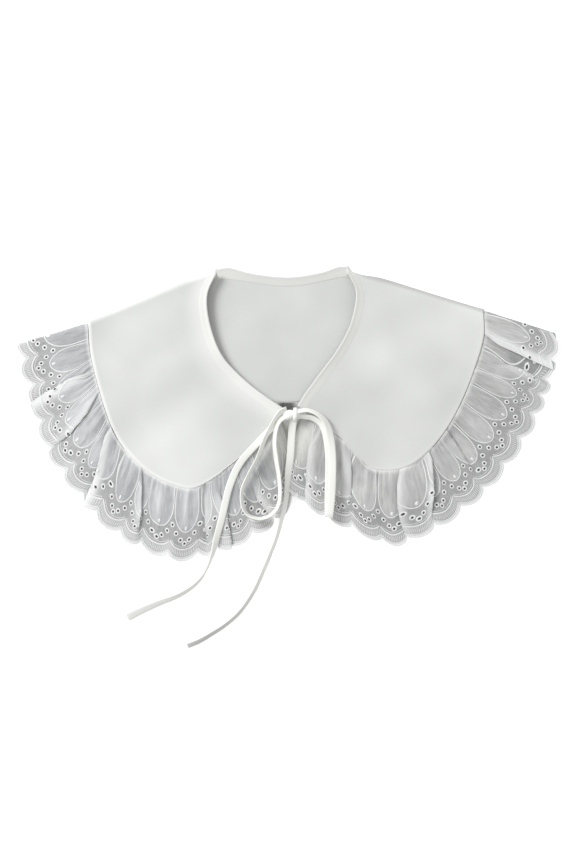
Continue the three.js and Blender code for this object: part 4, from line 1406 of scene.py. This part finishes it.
# %% Eyelet shade
eyelet_shade = Finish("eyelet_shade", 0.9)
grain = eyelet_shade.noise(eyelet_shade.place(), 700, 2)
# Painted shade: the discs are nearly black.
eyelet_shade.feed("Base Color", eyelet_shade.blend(grain, (0.03, 0.032, 0.035), (0.09, 0.092, 0.095)))

DISC_CORNERS = 10
discs_of_repeat = []
for place, up in EYELETS:
    round_hole = ring(place, up, EYELET_RADIUS * 0.98, DISC_CORNERS)
    corners = np.vstack([np.column_stack([round_hole, np.full(DISC_CORNERS, h)]) for h in (-0.10, 0.10)])
    discs_of_repeat.append((corners, ring_faces(2, DISC_CORNERS), np.zeros((len(corners), 2))))
eyelet_shade_discs = make_piece("eyelet_shade_discs", *laid_copies(discs_of_repeat), eyelet_shade, 30)

# %% [markdown]
# The knot lies on both neck tips: a flat core of tape with one turn of the same tape wrapped round it.


# %% Bow knot
def knot_band(stations, sides, upright):
    """A soft closed form through rings given as place, half width, half height, offset and lift."""
    angles = np.linspace(0, 2 * np.pi, sides, endpoint=False)
    rings = []
    for place, wide, tall, shift, lift in stations:
        crease = 1 + (0.09 * np.cos(7 * angles + 0.16 * place) if upright else 0)
        across = squared_off(np.cos(angles), 0.6) * wide + shift
        height = squared_off(np.sin(angles), 0.75) * tall * crease + lift
        along = np.full(sides, place)
        rings.append(np.column_stack([along, across, height] if upright else [across, along, height]))
    return np.vstack(rings), len(stations), sides


knot_low, knot_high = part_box("bow_knot")
knot_middle = np.array((knot_low + knot_high) / 2) / MM
core = knot_band([
    (-8.4, 1.6, 0.9, -2.6, -1.6), (-7.4, 3.0, 1.7, -2.3, -1.1), (-5.8, 4.1, 2.4, -1.8, -0.6),
    (-3.6, 4.5, 2.9, -1.0, -0.2), (-1.0, 4.2, 3.1, -0.4, 0), (1.4, 3.4, 3.0, 0, 0),
    (3.2, 2.8, 2.9, 0.2, 0), (4.8, 2.8, 2.9, 0.3, 0), (6.4, 3.4, 2.8, 0.4, -0.1), (7.6, 3.0, 2.2, 0.3, -0.4),
    (8.6, 1.4, 1.0, 0.2, -0.8),
], 28, True)
wrap = knot_band([
    (-6.6, 1.0, 1.4, 3.0, -2.4), (-6.0, 1.7, 2.4, 3.2, -1.4), (-4.6, 2.0, 3.5, 3.6, -0.3),
    (-2.4, 2.1, 3.9, 3.9, 0.1), (0, 2.1, 4.0, 4.0, 0.2), (2.4, 2.1, 3.9, 4.0, 0.1),
    (4.4, 2.0, 3.4, 3.9, -0.4), (5.4, 1.7, 2.4, 3.8, -1.4), (5.9, 1.0, 1.4, 3.7, -2.4),
], 20, False)
core_points, core_count, core_sides = core
wrap_points, wrap_count, wrap_sides = wrap
core_faces = ring_faces(core_count, core_sides)
wrap_faces = flipped(ring_faces(wrap_count, wrap_sides, len(core_points)))
knot_points = np.vstack([core_points, wrap_points]) + knot_middle
knot_map = knot_points[:, :2] * MM
bow_knot = make_piece("knot_tape", knot_points, core_faces + wrap_faces, knot_map, tape_cloth, 60)
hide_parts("bow_knot")

# %% [markdown]
# The area of one face of each sheet of cloth is printed.

# %% Sheets
for sheet in (collar_panel, neck_binding, lace_ruffle):
    area = 0.5 * sum(polygon.area for polygon in sheet.data.polygons)
    print(sheet.name, "one face", round(area, 4), "square metres")

# %% [markdown]
# The collar lies on a plain pale floor in soft daylight. A large lamp on the left gives the cloth its gentle
# modelling, and a bright even sky fills the shadows.

# %% Floor and light
FLOOR_GLOW = 0.42
FLOOR_DROP = 0.0002
SKY_STRENGTH = 0.64
LAMP_PLACE = (-1.4, 0.95, 1.3)
LAMP_TARGET = (0, -0.02, 0)
LAMP_SIZE = 0.9
LAMP_POWER = 34

floor_finish = Finish("floor_white", 0.9)
grain = floor_finish.noise(floor_finish.place(), 30, 2)
floor_finish.feed("Base Color", floor_finish.blend(grain, (0.93, 0.93, 0.93), (0.95, 0.95, 0.95)))
floor_finish.feed("Emission Color", (1, 1, 1, 1))
floor_finish.feed("Emission Strength", FLOOR_GLOW)
bpy.ops.mesh.primitive_plane_add(size=6, location=(0, 0, -FLOOR_DROP))
floor = bpy.context.object
floor.name = "floor"
floor.data.materials.append(floor_finish.material)

world = bpy.data.worlds.new("sky")
world.use_nodes = True
sky = world.node_tree.nodes["Background"]
sky.inputs["Color"].default_value = (1, 1, 1, 1)
sky.inputs["Strength"].default_value = SKY_STRENGTH
scene.world = world

lamp_data = bpy.data.lights.new("key", "AREA")
lamp_data.shape = "DISK"
lamp_data.size = LAMP_SIZE
lamp_data.energy = LAMP_POWER
lamp = bpy.data.objects.new("key", lamp_data)
lamp.location = LAMP_PLACE
towards_collar = Vector(LAMP_TARGET) - Vector(LAMP_PLACE)
lamp.rotation_euler = towards_collar.to_track_quat("-Z", "Y").to_euler()
scene.collection.objects.link(lamp)
